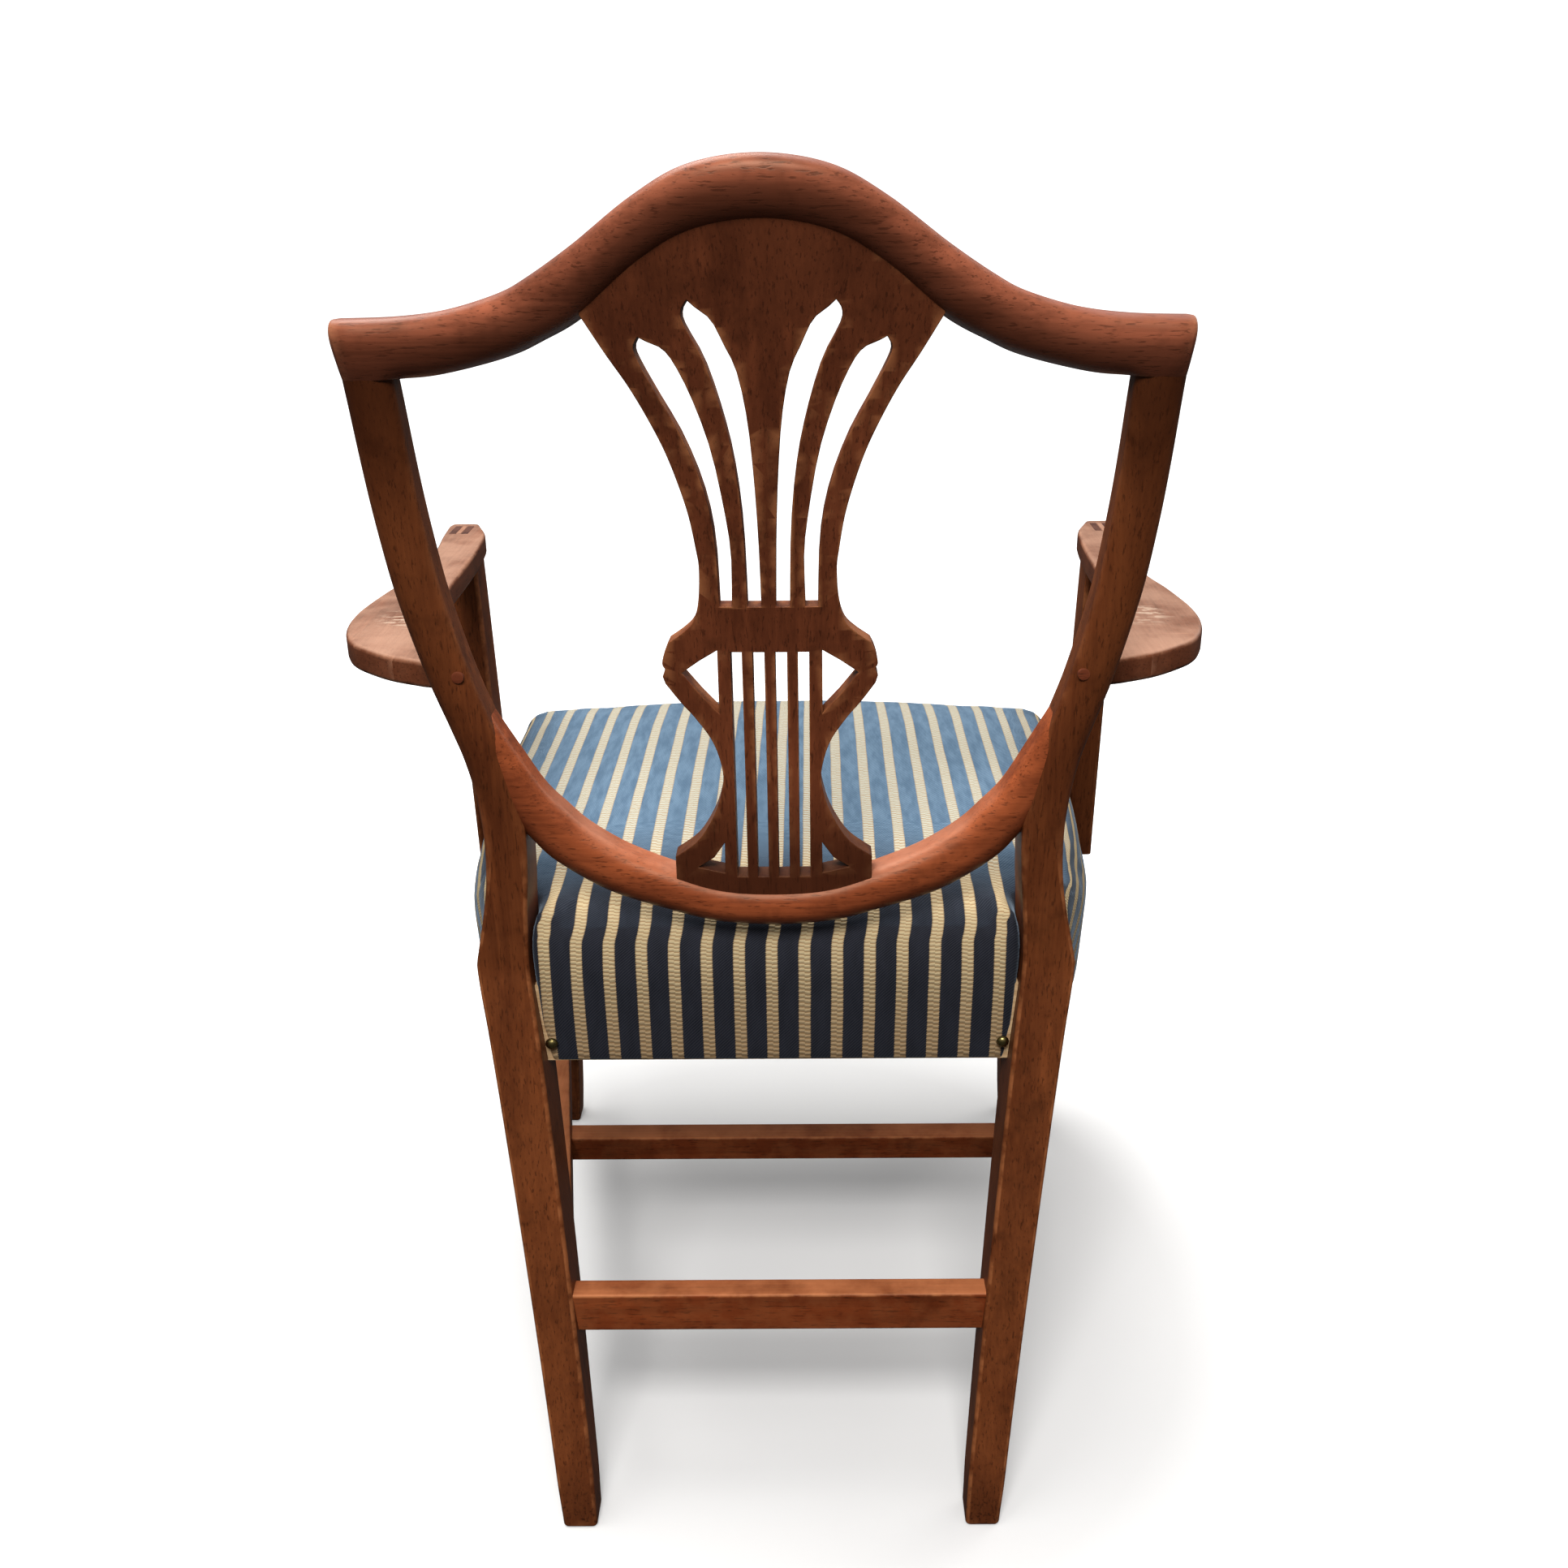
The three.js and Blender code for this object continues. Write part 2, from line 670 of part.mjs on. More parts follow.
const frontLegRear = -seatFrameDepth + frontLegTop;
const rearLeg = rearLegBody(0);
const rearLegTool = rearLegBody(fitGap);
const frontLeg = frontLegBody(0);
const frontLegTool = frontLegBody(fitGap);
const bothRearLegTools = [rearLegTool, mirrored(rearLegTool)];
const bothFrontLegTools = [frontLegTool, mirrored(frontLegTool)];

function seatTenonBox(x0, x1, y0, y1, grow) {
  return block(
    [x0 - grow, y0 - grow, seatBottom + tenonShoulder - grow],
    [x1 + grow, y1 + grow, seatFrameTop - tenonShoulder + grow],
  );
}

// Rear seat rail and its tenons
const rearRailBack = -rearRailSetback;
const rearRailFront = rearRailBack - seatRailThickness;
const rearRailInner = legAt(seatBottom).inner;
const rearTenonY = rearRailBack - seatRailThickness / 2;
const rearTenonTip = legAt(seatFrameTop).inner + tenonLength / 2;
function rearRailTenon(grow) {
  return seatTenonBox(
    rearRailInner - cutOverrun, rearTenonTip,
    rearTenonY - tenonThickness / 2, rearTenonY + tenonThickness / 2, grow,
  );
}
const rearRailBlock = block(
  [-kneeHalfWidth + kneeWidth / 2, rearRailFront, seatBottom],
  [kneeHalfWidth - kneeWidth / 2, rearRailBack, seatFrameTop],
);

// Front seat rail and its tenons
const frontRailFront = -seatFrameDepth;
const frontRailRear = frontRailFront + seatRailThickness;
const frontLegInner = frontHalfWidth - frontLegTop;
function frontRailTenon(grow) {
  const middle = (frontRailFront + frontRailRear) / 2;
  return seatTenonBox(
    frontLegInner - cutOverrun, frontLegInner + tenonLength,
    middle - tenonThickness / 2, middle + tenonThickness / 2, grow,
  );
}
const frontRailBlock = block(
  [-frontLegInner + fitGap, frontRailFront, seatBottom],
  [frontLegInner - fitGap, frontRailRear, seatFrameTop],
);

// Side seat rail: sawn to the curve of the seat, with a tenon at each end
const sideRailBack = legAt(seatFrameTop).front + cutOverrun;
const sidePlan = sideCurve.filter(([, y]) => y > frontLegRear + fitGap);
const sideRailEnd = [sideAt(frontLegRear + fitGap), frontLegRear + fitGap];
const sideRailOuter = [[sideStartHalfWidth, legAt(seatBottom).front + cutOverrun], ...sidePlan, sideRailEnd];
const sideRailInner = sideRailOuter.map(([x, y]) => [x - seatRailThickness, y]).reverse();
const sideRailBlock = plate([...sideRailOuter, ...sideRailInner], seatBottom, seatFrameTop);
const sideRearTenonX = sideStartHalfWidth - seatRailThickness / 2 + tenonThickness / 4;
function sideRearTenon(grow) {
  return seatTenonBox(
    sideRearTenonX - tenonThickness / 2, sideRearTenonX + tenonThickness / 2,
    sideRailBack - tenonLength, sideRailBack + tenonLength / 2, grow,
  );
}
const sideFrontTenonX = sideRailEnd[0] - seatRailThickness / 2;
function sideFrontTenon(grow) {
  return seatTenonBox(
    sideFrontTenonX - tenonThickness / 2, sideFrontTenonX + tenonThickness / 2,
    frontLegRear - tenonLength, frontLegRear + cutOverrun, grow,
  );
}

// Side stretcher: runs on a slant from the front leg to the rear leg
const sideStretcherMiddle = sideStretcherUnderside + stretcherHeight / 2;
const stretcherRearLeg = legAt(sideStretcherMiddle);
const stretcherFrontSize = frontLegSize(sideStretcherMiddle);
const stretcherRearEnd = new THREE.Vector2(
  (stretcherRearLeg.outer + stretcherRearLeg.inner) / 2, stretcherRearLeg.front,
);
const stretcherFrontEnd = new THREE.Vector2(
  frontHalfWidth - stretcherFrontSize / 2, -seatFrameDepth + stretcherFrontSize,
);
function slantedBar(thickness, extend, bottom, top) {
  const run = stretcherFrontEnd.clone().sub(stretcherRearEnd).normalize();
  const side = new THREE.Vector2(-run.y, run.x).multiplyScalar(thickness / 2);
  const rear = stretcherRearEnd.clone().addScaledVector(run, -extend);
  const front = stretcherFrontEnd.clone().addScaledVector(run, extend);
  return plate([
    [rear.x - side.x, rear.y - side.y], [front.x - side.x, front.y - side.y],
    [front.x + side.x, front.y + side.y], [rear.x + side.x, rear.y + side.y],
  ], bottom, top);
}
const sideStretcherTop = sideStretcherUnderside + stretcherHeight;
function sideStretcherTenons(grow) {
  return slantedBar(
    stretcherTenonThickness + 2 * grow, tenonLength - cutOverrun + grow,
    sideStretcherUnderside + stretcherTenonShoulder - grow, sideStretcherTop - stretcherTenonShoulder + grow,
  );
}

// Rear stretcher
const rearStretcherTop = rearStretcherUnderside + stretcherHeight;
const rearStretcherMiddle = (rearStretcherUnderside + rearStretcherTop) / 2;
const rearStretcherLeg = legAt(rearStretcherMiddle);
const rearStretcherBack = rearStretcherLeg.rear - rearStretcherSetback;
function rearStretcherTenons(grow) {
  const reach = rearStretcherLeg.inner + tenonLength + grow;
  const middle = rearStretcherBack - stretcherThickness / 2;
  const half = stretcherTenonThickness / 2 + grow;
  return block(
    [-reach, middle - half, rearStretcherUnderside + stretcherTenonShoulder - grow],
    [reach, middle + half, rearStretcherTop - stretcherTenonShoulder + grow],
  );
}

// Medial stretcher, tenoned between the two side stretchers
const medialRear = -medialStretcherPlace;
const medialFront = medialRear - medialStretcherDepth;
const medialTop = medialStretcherUnderside + medialStretcherHeight;
const medialMiddle = (medialRear + medialFront) / 2;
const stretcherShare = (stretcherRearEnd.y - medialMiddle) / (stretcherRearEnd.y - stretcherFrontEnd.y);
const medialReach = THREE.MathUtils.lerp(stretcherRearEnd.x, stretcherFrontEnd.x, stretcherShare);
function medialTenons(grow) {
  const half = stretcherTenonThickness / 2 + grow;
  return block(
    [-medialReach - grow, medialMiddle - half, medialStretcherUnderside + stretcherTenonShoulder - grow],
    [medialReach + grow, medialMiddle + half, medialTop - stretcherTenonShoulder + grow],
  );
}

// Arm: plan outline as [outward share, forward share], from the stile to its half span and reach
const armOuterShares = [
  [0.13, 0], [0.43, 0.032], [0.7, 0.08], [0.832, 0.116], [0.936, 0.171], [0.984, 0.223], [1, 0.275],
  [0.988, 0.33], [0.93, 0.43], [0.86, 0.51], [0.815, 0.62], [0.838, 0.715], [0.878, 0.793], [0.928, 0.883],
  [0.963, 0.974],
];
const armInnerShares = [
  [0.625, 0.974], [0.52, 0.912], [0.478, 0.855], [0.432, 0.725], [0.41, 0.585], [0.397, 0.461],
  [0.314, 0.347], [0.167, 0.222], [-0.018, 0.119], [-0.2, 0.036],
];
const armToeShares = [[0.945, 0.995], [0.895, 1], [0.71, 1], [0.66, 0.995]];
const postTopShare = 0.62;
const postTenonShare = 0.78;
const stileFace = legAt(armRearHeight - armThickness / 2);
const armPoint = ([out, forward]) => [
  THREE.MathUtils.lerp(stileFace.outer, armHalfSpan, out),
  THREE.MathUtils.lerp(stileFace.front, -armReach, forward),
];
const armHeelY = stileFace.front + cutOverrun;
const armSteps = 26;
const armOutline = [
  [stileFace.outer - armHeelWidth, armHeelY],
  [stileFace.outer - frontEdgeRadius, armHeelY],
  ...smooth(armOuterShares.map(armPoint), armSteps),
  ...armToeShares.map(armPoint),
  ...smooth(armInnerShares.map(armPoint), armSteps),
];
function armTopAt(y) {
  return armRearHeight + (armRiseHeight * -y) / armReach;
}
function armBody() {
  const shape = new THREE.Shape(armOutline.map(([x, y]) => new THREE.Vector2(x, y)));
  const board = new THREE.ExtrudeGeometry(shape, {
    depth: armThickness - 2 * armEdgeRadius,
    bevelEnabled: true,
    bevelThickness: armEdgeRadius,
    bevelSize: armEdgeRadius,
    bevelOffset: -armEdgeRadius,
    bevelSegments: 2,
  });
  const place = board.attributes.position;
  for (let i = 0; i < place.count; i += 1) {
    const y = place.getY(i);
    place.setZ(i, place.getZ(i) + armEdgeRadius - armThickness + armTopAt(y));
  }
  return closed(board);
}

// Arm post, on the outside of the side rail and under the front end of the arm
const coverOut = fitGap + coverThickness;
const postY = -armReach + postSetback;
const postInner = sideAt(postY) + coverOut + coverBulgeDepth + fitGap;
const postTopInner = armPoint([postTopShare, 1])[0];
const postFootHeight = seatBottom + coverThickness;
const postSteps = 8;
function armUnderside(y) {
  return armTopAt(y) - armThickness - fitGap;
}
function postBody() {
  const rings = [];
  for (let i = 0; i <= postSteps; i += 1) {
    const share = i / postSteps;
    const width = THREE.MathUtils.lerp(postWidthFoot, postWidthTop, share);
    const depth = THREE.MathUtils.lerp(postDepthFoot, postDepthTop, share);
    const inner = THREE.MathUtils.lerp(postInner, postTopInner, share * share);
    const middle = postY + postSweepDepth * Math.sin(Math.PI * share);
    const ring = section(width, depth, postEdgeRadius, postEdgeRadius, frontEdgeRadius, 0);
    rings.push(ring.map(([across, deep]) => {
      const y = middle + depth / 2 - deep;
      const z = THREE.MathUtils.lerp(postFootHeight, armUnderside(y), share);
      return new THREE.Vector3(inner + across, y, z);
    }));
  }
  return loft(rings);
}
const postTenonX = armPoint([postTenonShare, 1])[0];
const armFlushTop = armTopAt(postY + postTenonDepth / 2);
function postTenon(grow) {
  return block(
    [postTenonX - postTenonWidth / 2 - grow, postY - postTenonDepth / 2 - grow,
      armUnderside(postY) - cutOverrun],
    [postTenonX + postTenonWidth / 2 + grow, postY + postTenonDepth / 2 + grow,
      armFlushTop + (grow > 0 ? cutOverrun : -fitGap)],
  );
}
function wedgeBody(grow) {
  const half = wedgeThickness / 2 + grow;
  const tip = wedgeTip / 2 + grow;
  const top = armFlushTop - fitGap;
  const bottom = armFlushTop - wedgeDepth - grow;
  const reach = postTenonDepth / 2 + (grow > 0 ? cutOverrun : 0);
  const ring = (x, z) => [
    new THREE.Vector3(postTenonX - x, postY - reach, z), new THREE.Vector3(postTenonX + x, postY - reach, z),
    new THREE.Vector3(postTenonX + x, postY + reach, z), new THREE.Vector3(postTenonX - x, postY + reach, z),
  ];
  const rings = [ring(tip, bottom), ring(half, top)];
  if (grow > 0) rings.push(ring(half, top + cutOverrun));
  return loft(rings);
}

// Screws, plugs and nails, turned on a lathe about their own axis
const roundSides = 8;
function screwBody(length, shank, head, headHeight, grow) {
  const profile = [
    [0, 0], [head / 2 + grow, 0], [head / 2 + grow, headHeight], [shank / 2 + grow, headHeight + shank / 4],
    [shank / 2 + grow, length - shank + grow], [0, length + grow],
  ];
  if (grow > 0) profile[0] = [0, -grow];
  if (grow > 0) profile[1] = [head / 2 + grow, -grow];
  return new THREE.LatheGeometry(profile.map(([r, y]) => new THREE.Vector2(r, y)), roundSides);
}

// Turns a body made along +Y so that it points along a direction, and moves its head to a place
function aimed(geometry, place, direction) {
  const turn = new THREE.Quaternion().setFromUnitVectors(
    new THREE.Vector3(0, 1, 0), direction.clone().normalize(),
  );
  const body = geometry.clone();
  body.applyQuaternion(turn);
  body.translate(place.x, place.y, place.z);
  return closed(body);
}

// The screw that holds the arm slopes down a little, and outwards, from under its plug
const plugFace = legAt(plugHeight).rear;
const plugHalfSpan = legAt(plugHeight).inner + plugInset;
const headTilt = (plugDiameter / 2) * (Math.hypot(armScrewDrop, armScrewSplay) / armScrewLength);
const armScrewPlace = new THREE.Vector3(
  plugHalfSpan, plugFace - plugThickness - 2 * fitGap - headTilt, plugHeight,
);
const armScrewAim = new THREE.Vector3(armScrewSplay, -armScrewLength, -armScrewDrop);
function armScrew(grow) {
  return aimed(
    screwBody(armScrewLength, armScrewDiameter, plugDiameter - 2 * fitGap, screwHeadHeight, grow),
    armScrewPlace,
    armScrewAim,
  );
}
function armPlug(grow) {
  const disc = new THREE.CylinderGeometry(
    plugDiameter / 2 + grow, plugDiameter / 2 + grow, plugThickness + (grow > 0 ? cutOverrun : 0), roundSides,
  );
  const forward = new THREE.Vector3(0, -1, 0);
  const middle = plugFace - plugThickness / 2 + (grow > 0 ? cutOverrun / 2 : 0);
  return aimed(disc, new THREE.Vector3(plugHalfSpan, middle - fitGap, plugHeight), forward);
}

// Two screws from inside the side rail into each post
const railInside = sideAt(postY) - seatRailThickness;
const postScrewHeight = seatBottom + seatRailHeight / 2;
function postScrew(step, grow) {
  const place = new THREE.Vector3(railInside, postY, postScrewHeight + step * postScrewSpacing / 2);
  return aimed(
    screwBody(postScrewLength, screwShank, screwHead, screwHeadHeight, grow),
    place,
    new THREE.Vector3(1, 0, 0),
  );
}
const postScrewSteps = [-1, 1];
const postScrewTools = postScrewSteps.map((step) => postScrew(step, fitGap));

// Corner blocks: prisms glued in the corners, each with a screw into both rails
const blockBottom = seatBottom + (seatRailHeight - cornerBlockHeight) / 2;
const blockTop = blockBottom + cornerBlockHeight;
const frontCornerX = sideAt(frontLegRear + cornerBlockReach) - seatRailThickness - fitGap;
const frontBlockOutline = [
  [frontCornerX - cornerBlockReach, frontRailRear + fitGap],
  [frontCornerX, frontRailRear + fitGap],
  [frontCornerX, frontRailRear + cornerBlockReach],
];
const rearCornerX = sideStartHalfWidth - seatRailThickness;
const rearBlockOutline = [
  [rearCornerX - cornerBlockReach, rearRailFront - fitGap],
  [rearCornerX - tenonThickness, rearRailFront - fitGap],
  [rearCornerX - fitGap, rearRailFront - cornerBlockReach],
];

const sideRailTool = plate(
  [...sideRailOuter, ...sideRailInner.map(([x, y]) => [x - fitGap, y])],
  seatBottom - cutOverrun,
  seatFrameTop + cutOverrun,
);
const frontBlockRaw = cut(plate(frontBlockOutline, blockBottom, blockTop), frontLegTool, sideRailTool);
const rearBlockRaw = cut(plate(rearBlockOutline, blockBottom, blockTop), rearLegTool, sideRailTool);
function blockScrew(place, direction, grow) {
  return aimed(
    screwBody(blockScrewLength, screwShank, screwHead, screwHeadHeight, grow), place, direction,
  );
}
const blockMiddle = (blockBottom + blockTop) / 2;
const towardsFront = new THREE.Vector3(0, -1, 0);
const towardsRear = new THREE.Vector3(0, 1, 0);
const towardsSide = new THREE.Vector3(1, 0, 0);
const screwStep = cornerBlockHeight / 5;
const blockScrewInset = cornerBlockReach / 3;
const blockScrews = {
  front: [
    [new THREE.Vector3(frontCornerX - cornerBlockReach + blockScrewInset,
      frontRailRear + blockScrewInset / 2, blockMiddle + screwStep), towardsFront],
    [new THREE.Vector3(frontCornerX - blockScrewInset / 2,
      frontRailRear + cornerBlockReach - blockScrewInset, blockMiddle - screwStep), towardsSide],
  ],
  rear: [
    [new THREE.Vector3(rearCornerX - cornerBlockReach + blockScrewInset,
      rearRailFront - blockScrewInset / 2, blockMiddle + screwStep), towardsRear],
    [new THREE.Vector3(rearCornerX - blockScrewInset / 2,
      rearRailFront - cornerBlockReach + blockScrewInset * 1.5, blockMiddle - screwStep), towardsSide],
  ],
};
const blockScrewTools = Object.fromEntries(Object.entries(blockScrews).map(
  ([corner, list]) => [corner, list.map(([place, aim]) => blockScrew(place, aim, fitGap))],
));

// Upholstery rings: half of the plan from the middle of the back round to the middle of the front.
// Each row gives a place for one height, and how freely the edge rolls in there.
const tongueFreeShare = 0.4;
const edgeFrontCorner = 6;
const frontCornerSteps = 3;
const coverBackShares = [0, 0.45, 0.9];
const coverFrontShares = [0.75, 0.5, 0.25, 0];
function coverHalf(z, inset) {
  const leg = legAt(Math.min(z, kneeHeight));
  const back = rearRailBack + coverOut - inset;
  const beside = leg.inner - fitGap - inset;
  const ahead = leg.front - fitGap - inset;
  const rows = [];
  for (const share of coverBackShares) rows.push([beside * share, back, 1]);
  rows.push([beside - edgeFrontCorner / 4, back - edgeFrontCorner / 8, tongueFreeShare]);
  rows.push([beside, back - edgeFrontCorner / 2, tongueFreeShare]);
  rows.push([beside, (back + ahead) / 2, tongueFreeShare]);
  rows.push([beside, ahead + coverThickness, tongueFreeShare]);
  rows.push([beside + coverThickness, ahead, tongueFreeShare]);
  rows.push([sideStartHalfWidth + coverOut - inset, ahead - coverThickness, tongueFreeShare * 2]);
  for (const [x, y] of sideCurve.slice(2, -1)) rows.push([x + coverOut - inset, y, 1]);
  const front = -seatFrameDepth - coverOut + inset;
  const edge = frontHalfWidth + coverOut - inset;
  for (let i = 0; i <= frontCornerSteps; i += 1) {
    const angle = (i / frontCornerSteps) * (Math.PI / 2);
    rows.push([
      edge - edgeFrontCorner * (1 - Math.cos(angle)),
      front + edgeFrontCorner * (1 - Math.sin(angle)),
      1,
    ]);
  }
  for (const share of coverFrontShares) rows.push([edge * share, front, 1]);
  return rows;
}

function coverRing(offset, height, inset) {
  const roughZ = seatBottom + height;
  const half = coverHalf(roughZ, inset);
  const other = half.slice(1, -1).map(([x, y, free]) => [-x, y, free]).reverse();
  const plan = [...half, ...other];
  return plan.map(([x, y, free], i) => {
    const before = plan[(i + plan.length - 1) % plan.length];
    const after = plan[(i + 1) % plan.length];
    const run = new THREE.Vector2(after[0] - before[0], after[1] - before[1]).normalize();
    const move = offset > 0 ? offset * (free < 1 ? 0 : 1) : offset * free;
    return new THREE.Vector3(x + run.y * -move, y + run.x * move, roughZ);
  });
}

// Height of the rolled edge above the rails' underside, from the back to the arched front
function edgeHeightAt(x, y) {
  const across = x / frontHalfWidth;
  const front = frontEdgeHeight + frontArchHeight * (1 - across * across);
  return THREE.MathUtils.lerp(rearEdgeHeight, front, -y / seatFrameDepth);
}

// Rows of the upholstery: inward share of the roll, and height share of the edge
const edgeRollWidth = 34;
const coverRowShares = [
  [0, 0], [0, 0.3], [0, 0.62], [-0.02, 0.76], [-0.09, 0.87], [-0.26, 0.95], [-0.56, 0.99], [-1, 1.02],
];
const bulgeShares = [0, 0.6, 1, 1, 0.8, 0, 0, 0];
const crownShares = [0.72, 0.44, 0.18];
const firstRollRow = 2;
const innerRows = [0, firstRollRow, 4, 5, 7];
function upholsteryRings(inset, base) {
  const rings = [];
  coverRowShares.forEach(([inward, rise], row) => {
    if (inset > 0 && !innerRows.includes(row)) return;
    if (base !== undefined && row < firstRollRow) return;
    const offset = inward * edgeRollWidth + bulgeShares[row] * coverBulgeDepth;
    const ring = coverRing(offset, rise * rearEdgeHeight, inset);
    const drop = row < firstRollRow ? 0 : inset;
    for (const p of ring) p.z = seatBottom + rise * edgeHeightAt(p.x, p.y) - drop;
    if (base !== undefined && row === firstRollRow) {
      for (const p of ring) p.z = base;
    }
    rings.push(ring);
  });
  const rim = rings.at(-1);
  const centre = new THREE.Vector3(0, -seatFrameDepth / 2, 0);
  for (const share of crownShares) {
    rings.push(rim.map((p) => {
      const q = centre.clone().lerp(p, share);
      const rimHeight = seatBottom + coverRowShares.at(-1)[1] * edgeHeightAt(q.x, q.y) - inset;
      q.z = rimHeight + seatCrownHeight * (1 - share * share);
      return q;
    }));
  }
  return rings;
}

function coverShell() {
  const outer = upholsteryRings(0);
  const inner = upholsteryRings(coverThickness);
  const count = outer[0].length;
  const points = [];
  const index = [];
  const push = (rings, flip) => {
    const start = points.length;
    points.push(...rings.flat());
    for (let r = 0; r + 1 < rings.length; r += 1) {
      for (let i = 0; i < count; i += 1) {
        const a = start + r * count + i;
        const b = start + r * count + ((i + 1) % count);
        if (flip) index.push(b, a, b + count, b + count, a, a + count);
        else index.push(a, b, b + count, a, b + count, a + count);
      }
    }
    const last = rings.at(-1);
    const first = start + (rings.length - 1) * count;
    const middle = last.reduce((sum, p) => sum.add(p), new THREE.Vector3()).divideScalar(count);
    const centre = points.push(middle) - 1;
    for (let i = 0; i < count; i += 1) {
      const a = first + i;
      const b = first + ((i + 1) % count);
      if (flip) index.push(centre, b, a);
      else index.push(centre, a, b);
    }
    return start;
  };
  const outerStart = push(outer, false);
  const innerStart = push(inner, true);
  for (let i = 0; i < count; i += 1) {
    const j = (i + 1) % count;
    const [outerI, outerJ, innerI, innerJ] = [outerStart + i, outerStart + j, innerStart + i, innerStart + j];
    index.push(outerJ, outerI, innerI, outerJ, innerI, innerJ);
  }
  const geometry = new THREE.BufferGeometry().setFromPoints(points);
  geometry.setIndex(index);
  return closed(geometry);
}

// Layers over the rails: cross webbing, long webbing, base cloth, then the pad
const crossWebBottom = seatFrameTop + fitGap;
const longWebBottom = crossWebBottom + webbingThickness + fitGap;
const baseClothBottom = longWebBottom + webbingThickness + fitGap;
const padBottom = baseClothBottom + baseClothThickness + fitGap;

function ringPlate(inset, bottom, top) {
  const low = coverRing(0, bottom - seatBottom, inset);
  const rings = [bottom, top].map((z) => low.map((p) => new THREE.Vector3(p.x, p.y, z)));
  return loft(rings);
}

// Brass nails through the cover into the rear rail, near its lower corners
function nailBody(grow) {
  const domeSteps = 4;
  const profile = [[0, -nailDome]];
  for (let i = 1; i <= domeSteps; i += 1) {
    const angle = (i / domeSteps) * (Math.PI / 2);
    profile.push([Math.sin(angle) * (nailHead / 2) + grow, -nailDome * Math.cos(angle)]);
  }
  const shank = nailShank / 2 + grow;
  profile.push([shank, 0], [shank, nailLength], [0, nailLength + nailShank + grow]);
  return new THREE.LatheGeometry(profile.map(([r, y]) => new THREE.Vector2(r, y)), roundSides);
}
const nailPlace = new THREE.Vector3(
  nailHalfSpan,
  rearRailBack + coverOut + coverBulgeDepth * bulgeShares[1] + fitGap,
  seatBottom + nailHeight,
);
const nail = aimed(nailBody(0), nailPlace, towardsFront);
const nailTool = aimed(nailBody(fitGap), nailPlace, towardsFront);

// The finished pieces
const sides = [['left', (g) => g], ['right', mirrored]];

const finishedRearLeg = cut(
  join(cut(rearLeg, crestBody(fitGap)), stileTenon(0)),
  lowerRailTenon(fitGap), rearRailTenon(fitGap), sideRearTenon(fitGap), sideStretcherTenons(fitGap),
  rearStretcherTenons(fitGap), armPlug(fitGap), armScrew(fitGap),
);
const crest = cut(
  crestBody(0), stileTenon(fitGap), mirrored(stileTenon(fitGap)), splatBody(fitGap, []),
);
const lowerRail = cut(
  join(
    cut(lowerRailBody, ...bothRearLegTools),
    lowerRailTenon(0), mirrored(lowerRailTenon(0)),
  ),
  splatBody(fitGap, []),
);
const finishedFrontLeg = cut(
  frontLeg, frontRailTenon(fitGap), sideFrontTenon(fitGap), sideStretcherTenons(fitGap),
);
const rearRail = cut(
  join(cut(rearRailBlock, ...bothRearLegTools), rearRailTenon(0), mirrored(rearRailTenon(0))),
  nailTool, mirrored(nailTool), blockScrewTools.rear[0], mirrored(blockScrewTools.rear[0]),
);
const frontRail = cut(
  join(frontRailBlock, frontRailTenon(0), mirrored(frontRailTenon(0))),
  blockScrewTools.front[0], mirrored(blockScrewTools.front[0]),
);
const sideRail = cut(
  join(cut(sideRailBlock, rearLegTool), sideRearTenon(0), sideFrontTenon(0)),
  blockScrewTools.front[1], blockScrewTools.rear[1], ...postScrewTools,
);
const sideStretcher = cut(
  join(
    cut(
      slantedBar(stretcherThickness, cutOverrun, sideStretcherUnderside, sideStretcherTop),
      rearLegTool, frontLegTool,
    ),
    sideStretcherTenons(0),
  ),
  medialTenons(fitGap),
);
const rearStretcher = join(
  cut(
    block(
      [-rearStretcherLeg.outer + stretcherThickness, rearStretcherBack - stretcherThickness,
        rearStretcherUnderside],
      [rearStretcherLeg.outer - stretcherThickness, rearStretcherBack, rearStretcherTop],
    ),
    ...bothRearLegTools,
  ),
  rearStretcherTenons(0),
);
const sideStretcherTool = slantedBar(
  stretcherThickness + 2 * fitGap, 0, sideStretcherUnderside - cutOverrun, sideStretcherTop + cutOverrun,
);
const medialStretcher = join(
  cut(
    block([-medialReach, medialFront, medialStretcherUnderside], [medialReach, medialRear, medialTop]),
    sideStretcherTool, mirrored(sideStretcherTool),
  ),
  medialTenons(0),
);
const arm = cut(armBody(), rearLegTool, postTenon(fitGap), armScrew(fitGap));
const post = cut(join(postBody(), postTenon(0)), wedgeBody(fitGap), ...postScrewTools);
// Inside the cover, the rails pass through to the legs
const sideRailPath = plate([
  ...sideRailOuter.map(([x, y]) => [x + fitGap / 2, y]),
  ...sideRailInner.map(([x, y]) => [x - fitGap, y]),
], seatBottom - cutOverrun, seatFrameTop + fitGap);
const rearRailPath = block(
  [-sideStartHalfWidth - fitGap / 2, sideStart.front - coverOut - cutOverrun, seatBottom - cutOverrun],
  [sideStartHalfWidth + fitGap / 2, rearRailBack + fitGap / 2, seatFrameTop + fitGap],
);
const cover = cut(
  coverShell(), ...bothRearLegTools, ...bothFrontLegTools, sideRailPath, mirrored(sideRailPath), rearRailPath,
  nailTool, mirrored(nailTool),
  ...postScrewTools, ...postScrewTools.map(mirrored),
);

